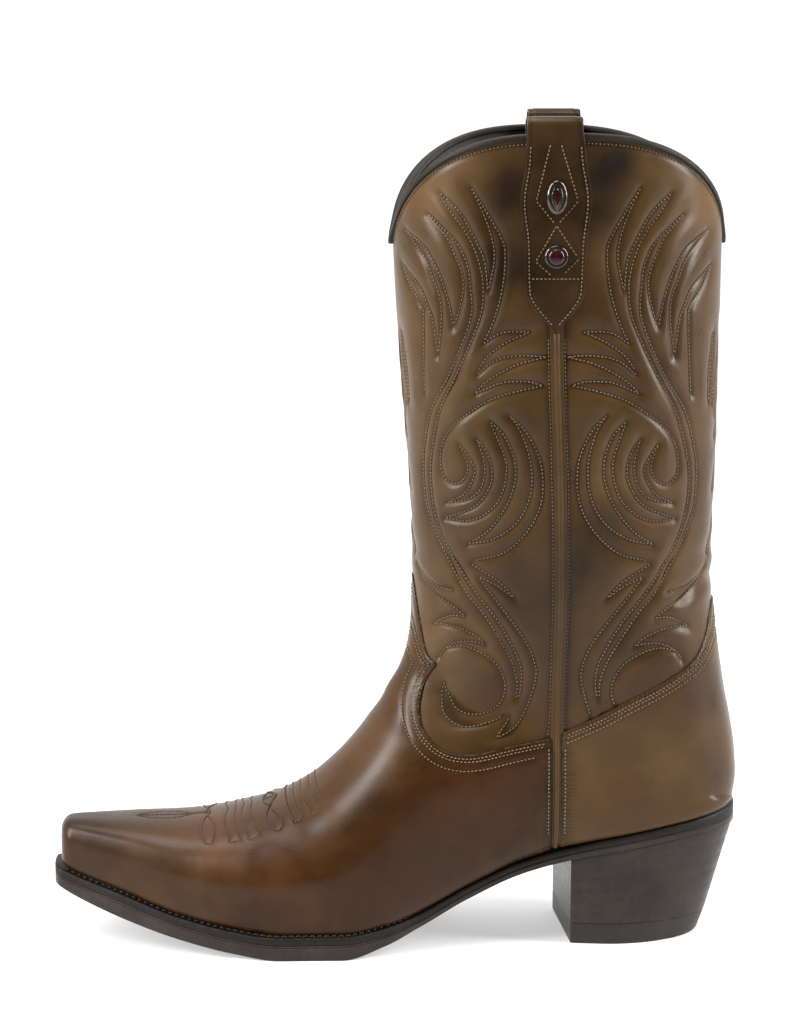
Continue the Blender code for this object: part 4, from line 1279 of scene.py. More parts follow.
def make_vamp():
    toe = TOE_FACE - PIVOT_X
    ahead = toe + np.array([0.0, 0.04, 0.12, 0.25, 0.45, 0.7, 1.0, 1.4, 1.9, 2.5, 3.2, 4.0, 5.0])
    rows = np.concatenate([ahead, np.arange(toe + 6.0, 0.0, 0.9), np.arange(0.0, 100.0, 0.42)])
    turns = np.linspace(-1.0, 1.0, 221)
    stations, turns = np.meshgrid(rows, turns, indexing="ij")
    return overlay_panel(
        "vamp_leather", stations, turns, VAMP_OUTLINE, EDGE_ROWS, VAMP_TONE, VAMP_WARMTH, toe_stitch_lift
    )


def make_counter():
    made = []
    for side in SIDES:
        turns = side * np.linspace(0.38, 1.0, 100)
        stations, grid = np.meshgrid(foot_rows(46.0, 100.0, 0.42), np.sort(turns), indexing="ij")
        name = "counter_leather_" + ("outer" if side < 0 else "inner")
        made.append(overlay_panel(
            name, stations, grid, COUNTER_OUTLINE, COUNTER_ROWS, COUNTER_TONE, COUNTER_WARMTH
        ))
    return made


def foot_from_photo(pixels):
    """Stations and turns on the top of the foot of the points that the photograph shows at the pixels."""
    stations, turns = np.meshgrid(np.arange(-54.0, 70.0, 0.4), np.linspace(-0.6, 0.0, 200), indexing="ij")
    points = upper_point(stations, turns).reshape(-1, 3) - CAMERA_PLACE
    right, up, forward = camera_axes()
    depth = points @ forward
    seen_x = PHOTO_WIDTH / 2 + FOCUS_PX * (points @ right) / depth
    seen_y = PHOTO_HEIGHT / 2 - FOCUS_PX * (points @ up) / depth
    tree = tree_of(np.column_stack([seen_x, seen_y]))
    found = [tree.find((x, y, 0.0))[1] for x, y in pixels]
    return np.column_stack([stations.ravel()[found], turns.ravel()[found]])


def charted_toe():
    """Toe stitch lines of both sides as stations and turns."""
    lines = []
    for pixels in TOE_LINES.values():
        chart = smooth_path(foot_from_photo(pixels) * (1.0, TOE_GIRTH), 0.5) / (1.0, TOE_GIRTH)
        lines += [chart, chart * (1.0, -1.0)]
    return lines


def toe_stitch_lift(station, turn, points):
    """Shallow rows that the toe stitching presses into the vamp, and the painted shade in them."""
    tree = tree_of(np.vstack([upper_point(*line.T) for line in TOE_CHART]))
    lift, dark = np.zeros(len(points)), np.zeros(len(points))
    for i in np.nonzero((station < TOE_ROWS_END) & (np.abs(turn) < TOE_ROWS_TURN))[0]:
        away = tree.find(points[i])[2]
        lift[i] = -TOE_ROW_DEPTH * bell(away, TOE_ROW_HALF)
        dark[i] = TOE_ROW_SHADE * bell(away, TOE_ROW_SHADE_HALF)
    return lift, dark


def make_lining():
    turns = np.linspace(-1.0, 1.0, 97)
    rows = [np.full_like(turns, s) for s in foot_rows(-50.0, TURN + COLLAR_BASE - PIVOT_Z, 3.0)]
    stations = np.array(rows + collar_rows(turns, np.linspace(0.1, 1.0, 10)))
    grid = np.broadcast_to(turns, stations.shape)
    points = upper_point(stations, grid) - upper_normal(stations, grid) * WALL
    return mesh_object("shaft_lining", points, grid_faces(*stations.shape), LINING)


# The seam's strip across its width: a flat flange with a rounded ridge in its middle, and painted shade at
# the flange's edge and the ridge's foot
PIPING_COLUMNS_ACROSS = ("across", "base", "ridge", "dark")
PIPING_HALF = (
    (1.80, 0.0, 0.0, 0.9),
    (1.76, 0.9, 0.0, 0.5),
    (1.45, 1.0, 0.0, 0.1),
    (0.86, 1.0, 0.0, 0.2),
    (0.76, 1.0, 0.10, 0.9),
    (0.66, 1.0, 0.55, 0.3),
    (0.36, 1.0, 0.92, 0.0),
    (0.0, 1.0, 1.0, 0.0),
)
PIPING_PROFILE = PIPING_HALF + tuple((-across, *rest) for across, *rest in PIPING_HALF[-2::-1])


def make_piping(name, side):
    z = PIPING_LOW + (PIPING_HIGH - PIPING_LOW) * np.linspace(0.0, 1.0, 160) ** 1.3
    x = seam_line(z, side)
    station, turn = side_turn(x, z)
    middle = upper_point(station, side * turn)
    normal = upper_normal(station, side * turn)
    across = np.cross(normal, unit(np.gradient(middle, axis=0)))
    ending = np.clip((PIPING_HIGH + 0.5 - z) / PIPING_TAPER, 0.0, 1.0) ** 0.5
    sunk = np.clip((SEAM_STEP - z) / SEAM_STEP_RUN, 0.0, 1.0)
    flange = (FLANGE_LEAST + (1.0 - FLANGE_LEAST) * sunk) * ending
    rings = []
    for across_share, base, ridge, _ in PIPING_PROFILE:
        height = flange * base + (PIPING_HEIGHT - PIPING_SINK) * ridge * ending
        rings.append(middle + across * across_share * PIPING_WIDTH / 2 + normal * height[:, None])
    points = np.stack(rings, axis=1)
    flat = points.reshape(-1, 3)
    shades = clouds(flat)
    shades["tone"] = shades["tone"] + PIPING_TONE
    # Painted shade across the strip, from the profile's dark column
    shades["painted_shade"] = np.tile([row[PIPING_COLUMNS_ACROSS.index("dark")] for row in PIPING_PROFILE], len(z))
    faces = grid_faces(*points.shape[:2])
    faces = faces[:, ::-1] if side > 0 else faces
    return mesh_object(name, flat, faces, LEATHER, shades)


def make_binding():
    turns = np.linspace(-1.0, 1.0, 361)[:-1]
    top = collar_height(turns)
    step = 1e-3
    head_station = TURN + top - PIVOT_Z
    beside = upper_point(head_station, turns + step) - upper_point(head_station, turns - step)
    width = np.linalg.norm(beside, axis=1)
    slope = (collar_height(turns + step) - collar_height(turns - step)) / width
    stretch = np.sqrt(1.0 + np.minimum(slope**2, 1.2))
    foot = upper_point(head_station - BINDING_BAND * stretch, turns)
    head = upper_point(head_station, turns)
    out = unit(upper_normal(head_station, turns) * (1.0, 1.0, 0.0))
    face = BINDING_GAP + BINDING_FACE + BINDING_BEAK * bell(head[:, 1], BINDING_BEAK_SPAN)
    inner = WALL + BINDING_GAP + BINDING_FACE
    cap = (BINDING_GAP + BINDING_TOP) * stretch
    rise = np.array((0.0, 0.0, 1.0))
    rings = []
    for share, depth in ((0.0, 0.1), (0.02, 0.75), (0.12, 1.0), (0.5, 1.05), (0.85, 1.0), (1.0, 0.95)):
        rings.append(foot + (head - foot) * share + out * (face * depth)[:, None])
    for angle in np.radians(np.linspace(15.0, 165.0, 9)):
        mid, half = (face - inner) / 2, (face + inner) / 2
        reach = mid + half * np.cos(angle)
        rings.append(head + out * reach[:, None] + rise * (cap * math.sin(angle) ** 0.8)[:, None])
    for share, depth in ((1.0, 1.0), (0.5, 1.05), (0.06, 1.0), (0.0, 0.75)):
        rings.append(foot + (head - foot) * share - out * inner * depth)
    points = np.stack(rings, axis=1)
    count, ring = points.shape[:2]
    faces = grid_faces(count, ring)
    last = (count - 1) * ring + np.arange(ring - 1)
    first = np.arange(ring - 1)
    faces = np.vstack([faces, np.stack([last, last + 1, first + 1, first], axis=1)])
    return mesh_object("binding", points, faces[:, ::-1], BINDING)


def end_caps(count, size):
    """Faces that close the first and the last of a count of rings."""
    return [tuple(range(size)), tuple(range(count * size - 1, (count - 1) * size - 1, -1))]


def strap_middle(side):
    return STRAP_X + (STRAP_TWIST if side > 0 else 0.0)


def strap_off(z):
    share = np.clip((z - STRAP[0][0]) / (STRAP_SPRING - STRAP[0][0]), 0.0, 1.0)
    return STRAP_REST + (STRAP_STAND - STRAP_REST) * share**1.5


def strap_face(x, z, side):
    """Distance from the boot's middle of the strap's outer face at x and z."""
    return np.abs(side_point(x, z, side)[..., 1]) + strap_off(z) + STRAP_THICK


STRAP_OUTER = np.concatenate([np.linspace(266.0, 283.0, 16), np.linspace(285.0, STRAP_SPRING, 36)])
STRAP_ARCH = (12.0, 20.0, 28.0, 36.0, 50.0, 65.0, 90.0, 115.0, 130.0, 144.0, 152.0, 160.0, 168.0)
STRAP_LINING = np.linspace(STRAP_SPRING, STRAP_INNER_END, 12)


def strap_path(x, side):
    """Inner face of a strap along lines at x: up the outside, over the collar and down the inside."""
    path = []
    for k, z in enumerate(STRAP_OUTER):
        wall = np.abs(side_point(x[k], z, side)[..., 1])
        path.append(np.stack([wall + strap_off(z), np.full_like(wall, z)], axis=-1))
    wall = np.abs(side_point(x[-1], STRAP_SPRING, side)[..., 1])
    middle = wall - WALL / 2
    span = WALL / 2 + STRAP_STAND
    rise = STRAP_TOP - STRAP_THICK - STRAP_SPRING
    bend = 2.0 / STRAP_ARCH_POWER
    for angle in np.radians(STRAP_ARCH):
        c, v = math.cos(angle), math.sin(angle)
        across = middle + span * math.copysign(abs(c) ** bend, c)
        path.append(np.stack([across, np.full_like(wall, STRAP_SPRING + rise * v**bend)], axis=-1))
    for z in STRAP_LINING:
        share = (z - STRAP_INNER_END) / (STRAP_SPRING - STRAP_INNER_END)
        off = STRAP_REST + (STRAP_STAND - STRAP_REST) * share
        wall = np.abs(side_point(x[-1], z, side)[..., 1])
        path.append(np.stack([wall - WALL - off, np.full_like(wall, z)], axis=-1))
    return np.array(path)


def strap_half(z, across):
    front = curve(STRAP_COLUMNS, STRAP, "front")(z)
    back = curve(STRAP_COLUMNS, STRAP, "back")(z)
    return np.where(across < 0.0, front, back)


def make_strap(name, side):
    across = np.sin(np.linspace(-1.0, 1.0, 29) * math.pi / 2)
    rows = len(STRAP_OUTER) + len(STRAP_ARCH) + len(STRAP_LINING)
    heights = np.concatenate([STRAP_OUTER, np.full(rows - len(STRAP_OUTER), STRAP_TOP)])
    x = strap_middle(side) + across * strap_half(heights[:, None], across[None, :])
    inner_path = strap_path(x, side)
    inner = np.stack([x, inner_path[..., 0], inner_path[..., 1]], axis=-1)
    along = unit(np.gradient(inner[..., 1:], axis=0))
    edge = np.abs(across)[None, :]
    thick = STRAP_THICK * (1.0 - STRAP_EDGE_THIN * edge**STRAP_EDGE_POWER)
    row_in = (1.0 - edge) * strap_half(heights[:, None], across[None, :])
    pressed_row = STRAP_ROW_DEPTH * bell(row_in - STRAP_ROW, STRAP_ROW_HALF)
    pressed_row = pressed_row * (heights[:, None] > STRAP_ROW_LOW)
    outer = inner.copy()
    outer[..., 1] += along[..., 1] * (thick - pressed_row)
    outer[..., 2] -= along[..., 0] * (thick - pressed_row)
    ring = np.concatenate([inner, outer[:, ::-1]], axis=1)
    ring[..., 1] *= side
    count, size = ring.shape[:2]
    flat = ring.reshape(-1, 3)
    shades = clouds(flat)
    shades["smoke"] = shades["smoke"] * STRAP_CLOUDS
    shades["tone"] = shades["tone"] * STRAP_CLOUDS + STRAP_TONE
    # Painted shade: darker along the strap's edges and pressed rows, and on its inner face towards the
    # shaft
    dark = np.maximum(bell((1.0 - edge) * 12.0, EDGE_SHADE_HALF), 0.5 * pressed_row / STRAP_ROW_DEPTH)
    shades["painted_shade"] = np.concatenate([np.full(x.shape, STRAP_INNER_SHADE), dark[:, ::-1]], axis=1).ravel()
    faces = grid_faces(count, size, wrap=True)
    faces = faces if side < 0 else faces[:, ::-1]
    faces = faces.tolist() + end_caps(count, size)
    return mesh_object(name, flat, faces, LEATHER, shades, sharp=50.0)


STUD_SPOKES = 64
EYE_SETTING = (0.60, 0.86)
EYE_STONE = (0.30, 0.55)
ROUND_SETTING = 0.70
ROUND_STONE = 0.62
STUD_FOOT = 0.28
STUD_DOME = 0.62
SETTING_DEPTH = 0.34
SETTING_HALF = 0.13
SETTING_LINE = 0.10
STONE_RISE = 0.28


def eye_shape(u, v, half, tip):
    """Negative inside an eye of a half width and a half height, in shares of the stud."""
    shape = np.abs(u) / (half * np.clip(1.0 - (v / tip) ** 2, 1e-3, 1.0)) - 1.0
    return np.where(np.abs(v) > tip, 1.0, shape)


def make_stud(name, side, row, eye):
    """A pewter stud: rim, dome, and a red stone, round or in an eye-shaped setting."""
    z, length, width, height = row
    x = strap_middle(side)
    seat = strap_face(x, np.array((z - length / 2, z, z + length / 2)), side) + REST_GAP
    lean = (seat[2] - seat[0]) / length
    base = max(seat[1], (seat[0] + seat[2]) / 2)
    radii = np.concatenate([[1.0, 1.0], np.linspace(0.99, 0.0, 30)])
    angles = np.arange(STUD_SPOKES) * 2.0 * math.pi / STUD_SPOKES
    r, a = np.meshgrid(radii, angles, indexing="ij")
    u, v = r * np.cos(a), r * np.sin(a)
    if eye:
        setting = eye_shape(u, v, *EYE_SETTING)
        stone = eye_shape(u, v, *EYE_STONE)
    else:
        setting = r / ROUND_SETTING - 1.0
        stone = r / ROUND_STONE - 1.0
    dome = np.sqrt(np.clip(1.0 - r**2.4, 0.0, 1.0)) ** 0.9
    lift = height * (STUD_FOOT + STUD_DOME * dome) - SETTING_DEPTH * bell(setting, SETTING_HALF)
    lift = lift + STONE_RISE * np.sqrt(np.clip(-stone, 0.0, 1.0))
    lift[0] = 0.0
    along = v * length / 2
    points = np.stack([x + u * width / 2, side * (base + lift + along * lean), z + along], axis=-1)
    faces = grid_faces(*r.shape, wrap=True)
    inside = (stone.ravel()[faces] < 0.0).all(axis=1)
    ring = np.abs(setting.ravel()[faces]).min(axis=1) < SETTING_LINE
    shade = np.where(inside, 1, np.where(ring, 2, 0))
    faces = faces[:, ::-1] if side > 0 else faces
    made_of = (METAL, STONE, HOLE)
    return weld(mesh_object(name, points, faces, made_of, sharp=60.0, shades=shade))


def along_sole(toe_inset, heel_inset, count):
    """Stations from toe to heel of an outline drawn in by the insets, closer at both ends."""
    start = TOE_TIP + toe_inset
    end = HEEL_BACK - heel_inset
    toe = start + TOE_ROUND * (1.0 - np.sin(np.linspace(math.pi / 2, 0.0, 14)))[:-1] + 1e-4
    heel = end - HEEL_ROUND * (1.0 - np.sin(np.linspace(0.0, math.pi / 2, 40)))[1:] - 1e-4
    return np.concatenate([toe, np.linspace(start + TOE_ROUND, end - HEEL_ROUND, count), heel])


LEAST_SHARE = 0.02


def sole_rings(x, profile, drawn_in=0.0):
    """Closed rings across the sole at the stations, from a half profile of inset and height rows."""
    middle, half = sole_edge(x, drawn_in)
    rings = []
    for side, rows in ((-1.0, profile), (1.0, profile[::-1])):
        for inset, z in rows:
            reach = np.maximum(half - inset, half * LEAST_SHARE)
            rings.append(np.stack([x, middle + side * reach, z], axis=-1))
    return np.stack(rings, axis=1)


def capped(points):
    """Faces of a stack of rings with both ends closed."""
    count, size = points.shape[:2]
    return grid_faces(count, size, wrap=True)[:, ::-1].tolist() + end_caps(count, size)


def ring_object(name, rings, made_of, sharp):
    """A closed body from a stack of rings."""
    return mesh_object(name, rings, capped(rings), made_of, sharp=sharp)


def make_welt():
    x = along_sole(0.0, 0.0, 260)
    low = outsole_top(x) + SEAT_GAP * 0.2
    edge = welt_edge_top(x)
    margin = sole["margin"](x)
    near_end = np.minimum(x - TOE_TIP, HEEL_BACK - x)
    rise = sole["rise"](x) * np.clip(near_end / margin, 0.0, 1.0)
    ripple = RIPPLE * np.sin(x * 2.0 * math.pi / RIPPLE_PITCH)
    profile = [
        (0.25, low),
        (0.0, low + 0.35),
        (0.0, edge - 0.45),
        (0.35, edge),
        (margin * 0.3, edge + 0.10 * rise + ripple),
        (margin * 0.55, edge + 0.15 * rise + ripple * 0.5),
        (margin * 0.78, edge + 0.55 * rise),
        (margin * 1.0, edge + rise),
        (margin * 1.6, edge + rise),
    ]
    return ring_object("welt_strip", sole_rings(x, profile), WELT, 45.0)


def make_outsole():
    x = along_sole(0.0, 0.0, 260)
    low = sole["bottom"](x)
    top = outsole_top(x)
    tall = top - low
    profile = [
        (14.0, low),
        (2.0, low),
        (0.5, low),
        (0.12, low + 0.22),
        (0.0, low + 0.7),
        (0.0, low + 0.72 * tall),
        (0.0, top - 0.20 * tall),
        (0.30, top - 0.16 * tall),
        (0.05, top - 0.12 * tall),
        (0.05, top - 0.2),
        (0.3, top),
        (6.0, top),
    ]
    return ring_object("outsole_leather", sole_rings(x, profile), SOLE_EDGE, 40.0)


def make_insole():
    clear = WALL + INSOLE_CLEAR
    x = along_sole(TOE_MARGIN + clear, HEEL_MARGIN + clear, 120)
    low = feather_height(x) + SEAT_GAP
    profile = ((0.0, low), (0.0, low + INSOLE - 0.5), (0.5, low + INSOLE), (8.0, low + INSOLE))
    rings = sole_rings(x, profile, sole["margin"](x) + clear)
    return ring_object("insole_board", rings, INSOLE_LEATHER, 40.0)


def heel_ring(level, inset):
    """Heel outline at a level from 0 on the floor to 1 under the outsole, drawn in by the inset."""
    front = np.linspace(0.0, HEEL_CORNER, 3)
    back = 1.0 - np.geomspace(0.36, 2e-4, 16)
    shares = np.concatenate([front, np.linspace(0.06, 0.62, 12), back])
    tuck = HEEL_TOE_IN + (1.0 - HEEL_TOE_IN) * level
    slim = HEEL_WAIST + (1.0 - HEEL_WAIST) * level**1.6
    span = HEEL_BACK - HEEL_INSET - BREAST_X
    x = BREAST_X + shares * span
    middle, half = sole_edge(x, HEEL_INSET)
    corner = np.clip(1.0 - shares / HEEL_CORNER, 0.0, 1.0) * 0.5
    lines = []
    for side in SIDES:
        y = (middle + side * (half - corner)) * slim - side * inset * np.minimum(1.0, half / 8.0)
        lean = -y * math.tan(math.radians(BREAST_YAW)) * (1.0 - shares)
        line = np.column_stack([BREAST_X + (x - BREAST_X) * tuck + lean, y])
        line[:, 0] += inset * (1.0 - 2.0 * shares)
        lines.append(line if side < 0 else line[::-1])
    return np.vstack(lines)


def make_heel():
    start = CAP + REST_GAP
    full = heel_ring(1.0, 0.0)
    top = sole["bottom"](full[:, 0]) - REST_GAP
    rings = []
    for layer in range(HEEL_LAYERS):
        for part, inset in ((0.0, LAYER_LINE), (0.04, 0.0), (0.5, 0.0), (0.96, 0.0), (0.9999, LAYER_LINE)):
            level = (layer + part) / HEEL_LAYERS
            share = (start + level * (HEEL_FULL - start)) / HEEL_FULL
            ring = heel_ring(share, inset)
            rings.append(np.column_stack([ring, start + (top - start) * level]))
    return ring_object("heel_layers", np.array(rings), SOLE_EDGE, 55.0)


def make_heel_cap():
    rings = []
    for z, inset in ((0.0, 0.6), (0.25, 0.15), (0.8, 0.0), (CAP - 0.5, 0.0), (CAP - 0.1, 0.1), (CAP, 0.35)):
        ring = heel_ring(z / HEEL_FULL, inset)
        rings.append(np.column_stack([ring, np.full(len(ring), z)]))
    return ring_object("heel_rubber", np.array(rings), CAP_RUBBER, 55.0)


def stitches(name, starts, ends, normals, made_of, wide=THREAD_WIDE, high=THREAD_HIGH):
    """Threads from starts to ends, lying on the leather and dipping into it at both ends."""
    along = ends - starts
    across = unit(np.cross(normals, along))
    section = ((-0.5, -0.15), (-0.32, 0.75), (0.32, 0.75), (0.5, -0.15))
    places = ((0.0, 0.45, -0.5), (0.2, 0.95, 0.75), (0.8, 0.95, 0.75), (1.0, 0.45, -0.5))
    rings = []
    for share, girth, lift in places:
        for w, h in section:
            rise = high * (lift + h * girth)
            rings.append(starts + along * share + across * w * girth * wide + normals * rise)
    points = np.stack(rings, axis=1)
    count, size = points.shape[:2]
    template = []
    for i in range(len(places) - 1):
        for j in range(len(section) - 1):
            a = i * len(section) + j
            template.append((a, a + len(section), a + len(section) + 1, a + 1))
    faces = (np.arange(count)[:, None, None] * size + np.array(template)[None]).reshape(-1, 4)
    return mesh_object(name, points, faces, made_of)


def holes(name, centres, normals):
    """Needle holes: small near-black flat discs just above the leather, painted shade inside each hole."""
    first = unit(np.cross(normals, HOLE_START))
    second = np.cross(normals, first)
    angles = np.arange(6) * math.pi / 3
    rings = [centres + HOLE_RADIUS * (math.cos(a) * first + math.sin(a) * second) for a in angles]
    points = np.stack(rings, axis=1)
    faces = np.arange(len(centres))[:, None] * 6 + np.arange(6)[None]
    return mesh_object(name, points, faces, HOLE)


def row_of(path, place, kind, pitch=PITCH):
    """Starts, ends, normals and holes of stitches along a path, a chart that place lays on the boot."""
    points, _ = place(path)
    lengths = lengths_along(points)
    gap = (PITCH - THREAD_LONG) / 2
    height = ROW_HEIGHTS[kind]

    def at(distance):
        return place(np.column_stack([np.interp(distance, lengths, column) for column in path.T]))

    tips = np.arange(max(1, int(lengths[-1] / pitch)) + 1) * pitch
    start, normal = at(tips[:-1] + gap)
    end, _ = at(tips[1:] - gap)
    hole, hole_normal = at(tips)
    hole = hole + hole_normal * (height + HOLE_LIFT)
    return start + normal * height, end + normal * height, normal, hole, hole_normal


def gather(rows):
    return [np.vstack(column) for column in zip(*rows)]


def upper_place(chart):
    """Lays stations and turns on the upper."""
    return upper_point(*chart.T), upper_normal(*chart.T)


def overlay_place(chart):
    """Lays stations and turns on an overlay."""
    points, normal = upper_place(chart)
    return points + normal * OVERLAY_TOP, normal


def quarter_place(side, facing):
    """Lays distances from the seam and heights on a quarter of the shaft."""
    return lambda chart: upper_place(np.column_stack(on_quarter(*chart.T, side, facing)))


def clear_of_overlays(path, side, facing):
    """The stretch of a path in a quarter that no overlay covers."""
    station, turn = on_quarter(*path.T, side, facing)
    return path[under_overlays(upper_point(station, turn)) < -OVERLAY_CLEAR]


def make_flame_stitches(facing):
    rows = []
    for side in SIDES:
        for path in FLAME_LINES.values():
            path = clear_of_overlays(path, side, facing)
            if len(path) > 8:
                rows.append(row_of(path, quarter_place(side, facing), "flame"))
    return rows


def make_seam_stitches():
    rows = []
    for side in SIDES:
        for facing in (-1.0, 1.0):
            z = np.linspace(*SEAM_ROW_SPAN, 500)
            path = clear_of_overlays(np.column_stack([np.full_like(z, SEAM_ROW), z]), side, facing)
            rows.append(row_of(path, quarter_place(side, facing), "seam"))
    return rows


def side_place(side):
    """Lays side-view x and z on an overlay."""
    return lambda chart: overlay_place(np.column_stack(side_turn(*chart.T)) * (1.0, side))


def inset_path(path, inset):
    """A path moved to its right by the inset."""
    along = unit(np.gradient(path, axis=0))
    return path + inset * np.column_stack([along[:, 1], -along[:, 0]])


def kept_inside(path, outline, inset):
    keep = inside_outline(path[:, 0], path[:, 1], outline) > inset - 0.12
    return path[keep]


def make_overlay_stitches():
    rows = []
    for side in SIDES:
        for inset in EDGE_ROWS:
            vamp = kept_inside(inset_path(vamp_edge(), inset), VAMP_OUTLINE, inset)
            rows.append(row_of(vamp[2:], side_place(side), "overlay"))
        for inset in COUNTER_ROWS:
            edge = inset_path(smooth_path(COUNTER_EDGE, 1.0), inset)
            counter = kept_inside(edge, COUNTER_OUTLINE, min(inset, COUNTER_ROWS[0]))
            rows.append(row_of(counter, side_place(side), "overlay"))
        for seam in (SEAM_X - SEAM_HALF - SIDE_ROW, SEAM_X + SEAM_HALF + SIDE_ROW):
            z = np.linspace(*SIDE_ROW_SPAN, 200)
            rows.append(row_of(np.column_stack([np.full_like(z, seam), z]), side_place(side), "side"))
    return rows


def make_collar_stitches():
    turns = np.linspace(-1.0, 1.0, 1600)
    heights = collar_height(turns) - COLLAR_ROW_DROP
    return [row_of(np.column_stack([TURN - PIVOT_Z + heights, turns]), upper_place, "collar")]


# Rows on a strap, as distance behind its middle line and height
STRAP_LINES = {
    "upper_left": ((-1.0, 350.0), (-8.2, 319.5)),
    "upper_right": ((-1.0, 350.0), (8.6, 319.5)),
    "upper_low_left": ((-8.2, 319.5), (0.0, 309.5)),
    "upper_low_right": ((8.6, 319.5), (0.0, 309.5)),
    "lower_left": ((0.0, 309.5), (-8.2, 295.0)),
    "lower_right": ((0.0, 309.5), (9.2, 296.0)),
    "lower_low_left": ((-8.2, 295.0), (-2.0, 289.5)),
    "lower_low_right": ((9.2, 296.0), (2.5, 289.5)),
    "bar": ((-10.0, 288.0), (10.0, 288.0)),
}


def make_strap_stitches():
    rows = []
    for side in SIDES:
        centre = strap_middle(side)

        def place(chart, side=side, centre=centre):
            x = centre + chart[:, 0]
            point = np.column_stack([x, side * strap_face(x, chart[:, 1], side), chart[:, 1]])
            station, turn = side_turn(x, chart[:, 1])
            return point, upper_normal(station, side * turn)

        lines = [np.linspace(a, b, 40) for a, b in STRAP_LINES.values()]
        z = np.linspace(*STRAP_ROW_SPAN, 200)
        for edge in (-1.0, 1.0):
            half = strap_half(z, np.full_like(z, edge)) - STRAP_ROW
            lines.append(np.column_stack([edge * np.maximum(half, 0.05), z]))
        for line in lines:
            line = line[line[:, 1] < STRAP_ROWS_END]
            rows.append(row_of(line, place, "strap"))
    return rows


def make_toe_stitches():
    return [row_of(line, overlay_place, "toe", TOE_PITCH) for line in TOE_CHART]


def sew(name, rows, made_of=None):
    start, end, normal, hole, hole_normal = gather(rows)
    stitches(name + "_thread", start, end, normal, made_of or THREAD)
    holes(name + "_holes", hole, hole_normal)


def make_welt_stitches():
    """Dark stitches along the top of the welt, down both sides of the forepart."""
    rows = []
    for side in SIDES:
        x = np.linspace(TOE_TIP + 5.0, 4.0, 900)
        middle, half = sole_edge(x, 0.0)
        across = middle + side * (half - WELT_ROW_SHARE * sole["margin"](x))
        line = np.column_stack([x, across, welt_edge_top(x) + WELT_ROW_RISE * sole["rise"](x)])
        start = evenly(line, WELT_PITCH)
        end = evenly(line, WELT_PITCH, WELT_THREAD_LONG)
        count = min(len(start), len(end))
        normal = np.tile((0.0, side * 0.1, 1.0), (count, 1))
        rows.append((start[:count], end[:count], normal))
    start, end, normal = gather(rows)
    return stitches("welt_thread", start, end, normal, WELT, WELT_THREAD_WIDE, WELT_THREAD_HIGH)


FRONT_GLOW = 0.14
BACK_GLOW = 1.1
FLOOR_GLOW = 0.45
FAR_GLOW = 0.35
FLOOR_REACH = 6.0
FLOOR_CORNERS = ((-1, -1), (1, -1), (1, 1), (-1, 1))
FRONT_FLOOR = (0.20, 0.20, 0.20)
PALE_FLOOR = (0.52, 0.52, 0.52)
WHITE = (1.0, 1.0, 1.0, 1.0)

# Softboxes: place, aim, size and power
LIGHTS = {
    "left_box": ((-1.35, -0.50, 0.95), (0.0, 0.0, 0.16), (0.45, 1.3), 46.0),
    "right_box": ((1.35, -0.30, 0.80), (0.05, 0.0, 0.16), (0.4, 1.2), 37.0),
    "top_box": ((-0.2, -0.1, 1.5), (0.0, 0.0, 0.1), (1.2, 0.6), 17.0),
}


def light(name, place, aim, size, power):
    lamp = bpy.data.lights.new(name, "AREA")
    lamp.shape = "RECTANGLE"
    lamp.size, lamp.size_y = size
    lamp.energy = power
    made = add_object(name, lamp)
    made.location = place
    toward = np.array(aim) - np.array(place)
    flat = math.hypot(toward[0], toward[1])
    heading = math.atan2(toward[1], toward[0]) - math.pi / 2
    made.rotation_euler = (math.atan2(flat, -toward[2]), 0.0, heading)


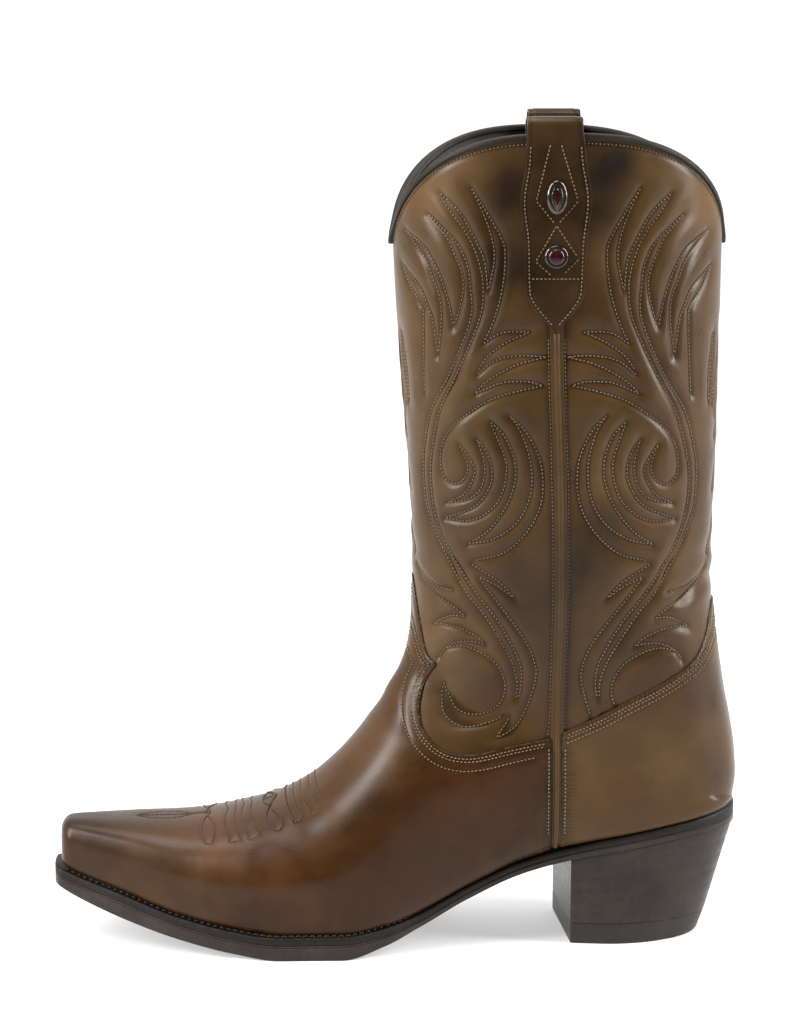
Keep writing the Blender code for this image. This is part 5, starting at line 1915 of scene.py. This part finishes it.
def make_stage():
    mesh = bpy.data.meshes.new("floor")
    corners = [(x * FLOOR_REACH, y * FLOOR_REACH, 0.0) for x, y in FLOOR_CORNERS]
    mesh.from_pydata(corners, [], [(0, 1, 2, 3)])
    made, tree, shader = new_material("pale_floor")
    position = node(tree, "ShaderNodeNewGeometry").outputs["Position"]
    place = node(tree, "ShaderNodeSeparateXYZ", {0: position})
    nearer = spread(tree, place.outputs["Y"], -1.4, -0.15)
    colour = blend(tree, nearer, FRONT_FLOOR, PALE_FLOOR)
    # Painted light: the floor glows, most near the boot to lift the shadows under it, and also behind the
    # boot
    glow = spread(tree, place.outputs["Y"], -1.0, -0.12, 0.0, FLOOR_GLOW)
    glow = math_node(tree, "ADD", glow, spread(tree, place.outputs["Y"], 0.1, 0.9, 0.0, FAR_GLOW))
    feed(tree, shader, {"Base Color": colour, "Roughness": 0.6, "Specular IOR Level": 0.2})
    feed(tree, shader, {"Emission Color": WHITE, "Emission Strength": glow})
    mesh.materials.append(made)
    floor = add_object("floor", mesh)
    world = bpy.data.worlds.new("studio")
    world.use_nodes = True
    tree = world.node_tree
    toward = node(tree, "ShaderNodeSeparateXYZ", {0: node(tree, "ShaderNodeTexCoord").outputs["Generated"]})
    glow = spread(tree, toward.outputs["Y"], -0.2, 0.5, FRONT_GLOW, BACK_GLOW)
    feed(tree, tree.nodes["Background"], {"Color": WHITE, "Strength": glow})
    bpy.context.scene.world = world
    for name, row in LIGHTS.items():
        light(name, *row)


def make_camera():
    lens = bpy.data.cameras.new("photo_camera")
    lens.lens = FOCUS_PX / PHOTO_HEIGHT * SENSOR
    lens.sensor_width = SENSOR
    made = add_object("photo_camera", lens)
    made.location = [(a + b) * MM for a, b in zip(CAMERA_PLACE, ORIGIN_SHIFT)]
    made.rotation_euler = (math.radians(CAMERA_TILT), 0.0, math.radians(CAMERA_TURN))
    bpy.context.scene.camera = made
    bpy.context.scene.view_settings.view_transform = "Standard"


TOE_CHART = charted_toe()
front = make_shaft("shaft_front", -0.5, 0.5, 232)
make_shaft("shaft_back", 0.5, 1.5, 232)
make_lining()
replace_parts(front, "upper")
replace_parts(make_vamp(), "vamp")
counter_sides = make_counter()
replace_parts(counter_sides[0], "counter")
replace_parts(make_binding(), "collar_binding")
for side, place in ((-1.0, "outer"), (1.0, "inner")):
    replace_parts(make_piping(place + "_seam_piping", side), place + "_piping")
    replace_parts(make_strap(place + "_pull_strap", side), place + "_strap")
    for stud, row in STUDS.items():
        stud_set = make_stud(place + "_" + stud + "_set", side, row, stud == "oval_stud")
        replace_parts(stud_set, place + "_" + stud)
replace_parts(make_welt(), "welt")
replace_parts(make_outsole(), "outsole")
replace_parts(make_insole(), "insole")
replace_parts(make_heel(), "heel_stack")
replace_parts(make_heel_cap(), "heel_cap")
sew("flame_front", make_flame_stitches(-1.0))
sew("flame_back", make_flame_stitches(1.0))
sew("seam", make_seam_stitches() + make_collar_stitches())
sew("overlay", make_overlay_stitches())
sew("strap", make_strap_stitches())
sew("toe", make_toe_stitches(), DARK_THREAD)
make_welt_stitches()
make_stage()
make_camera()

bpy.context.view_layer.update()
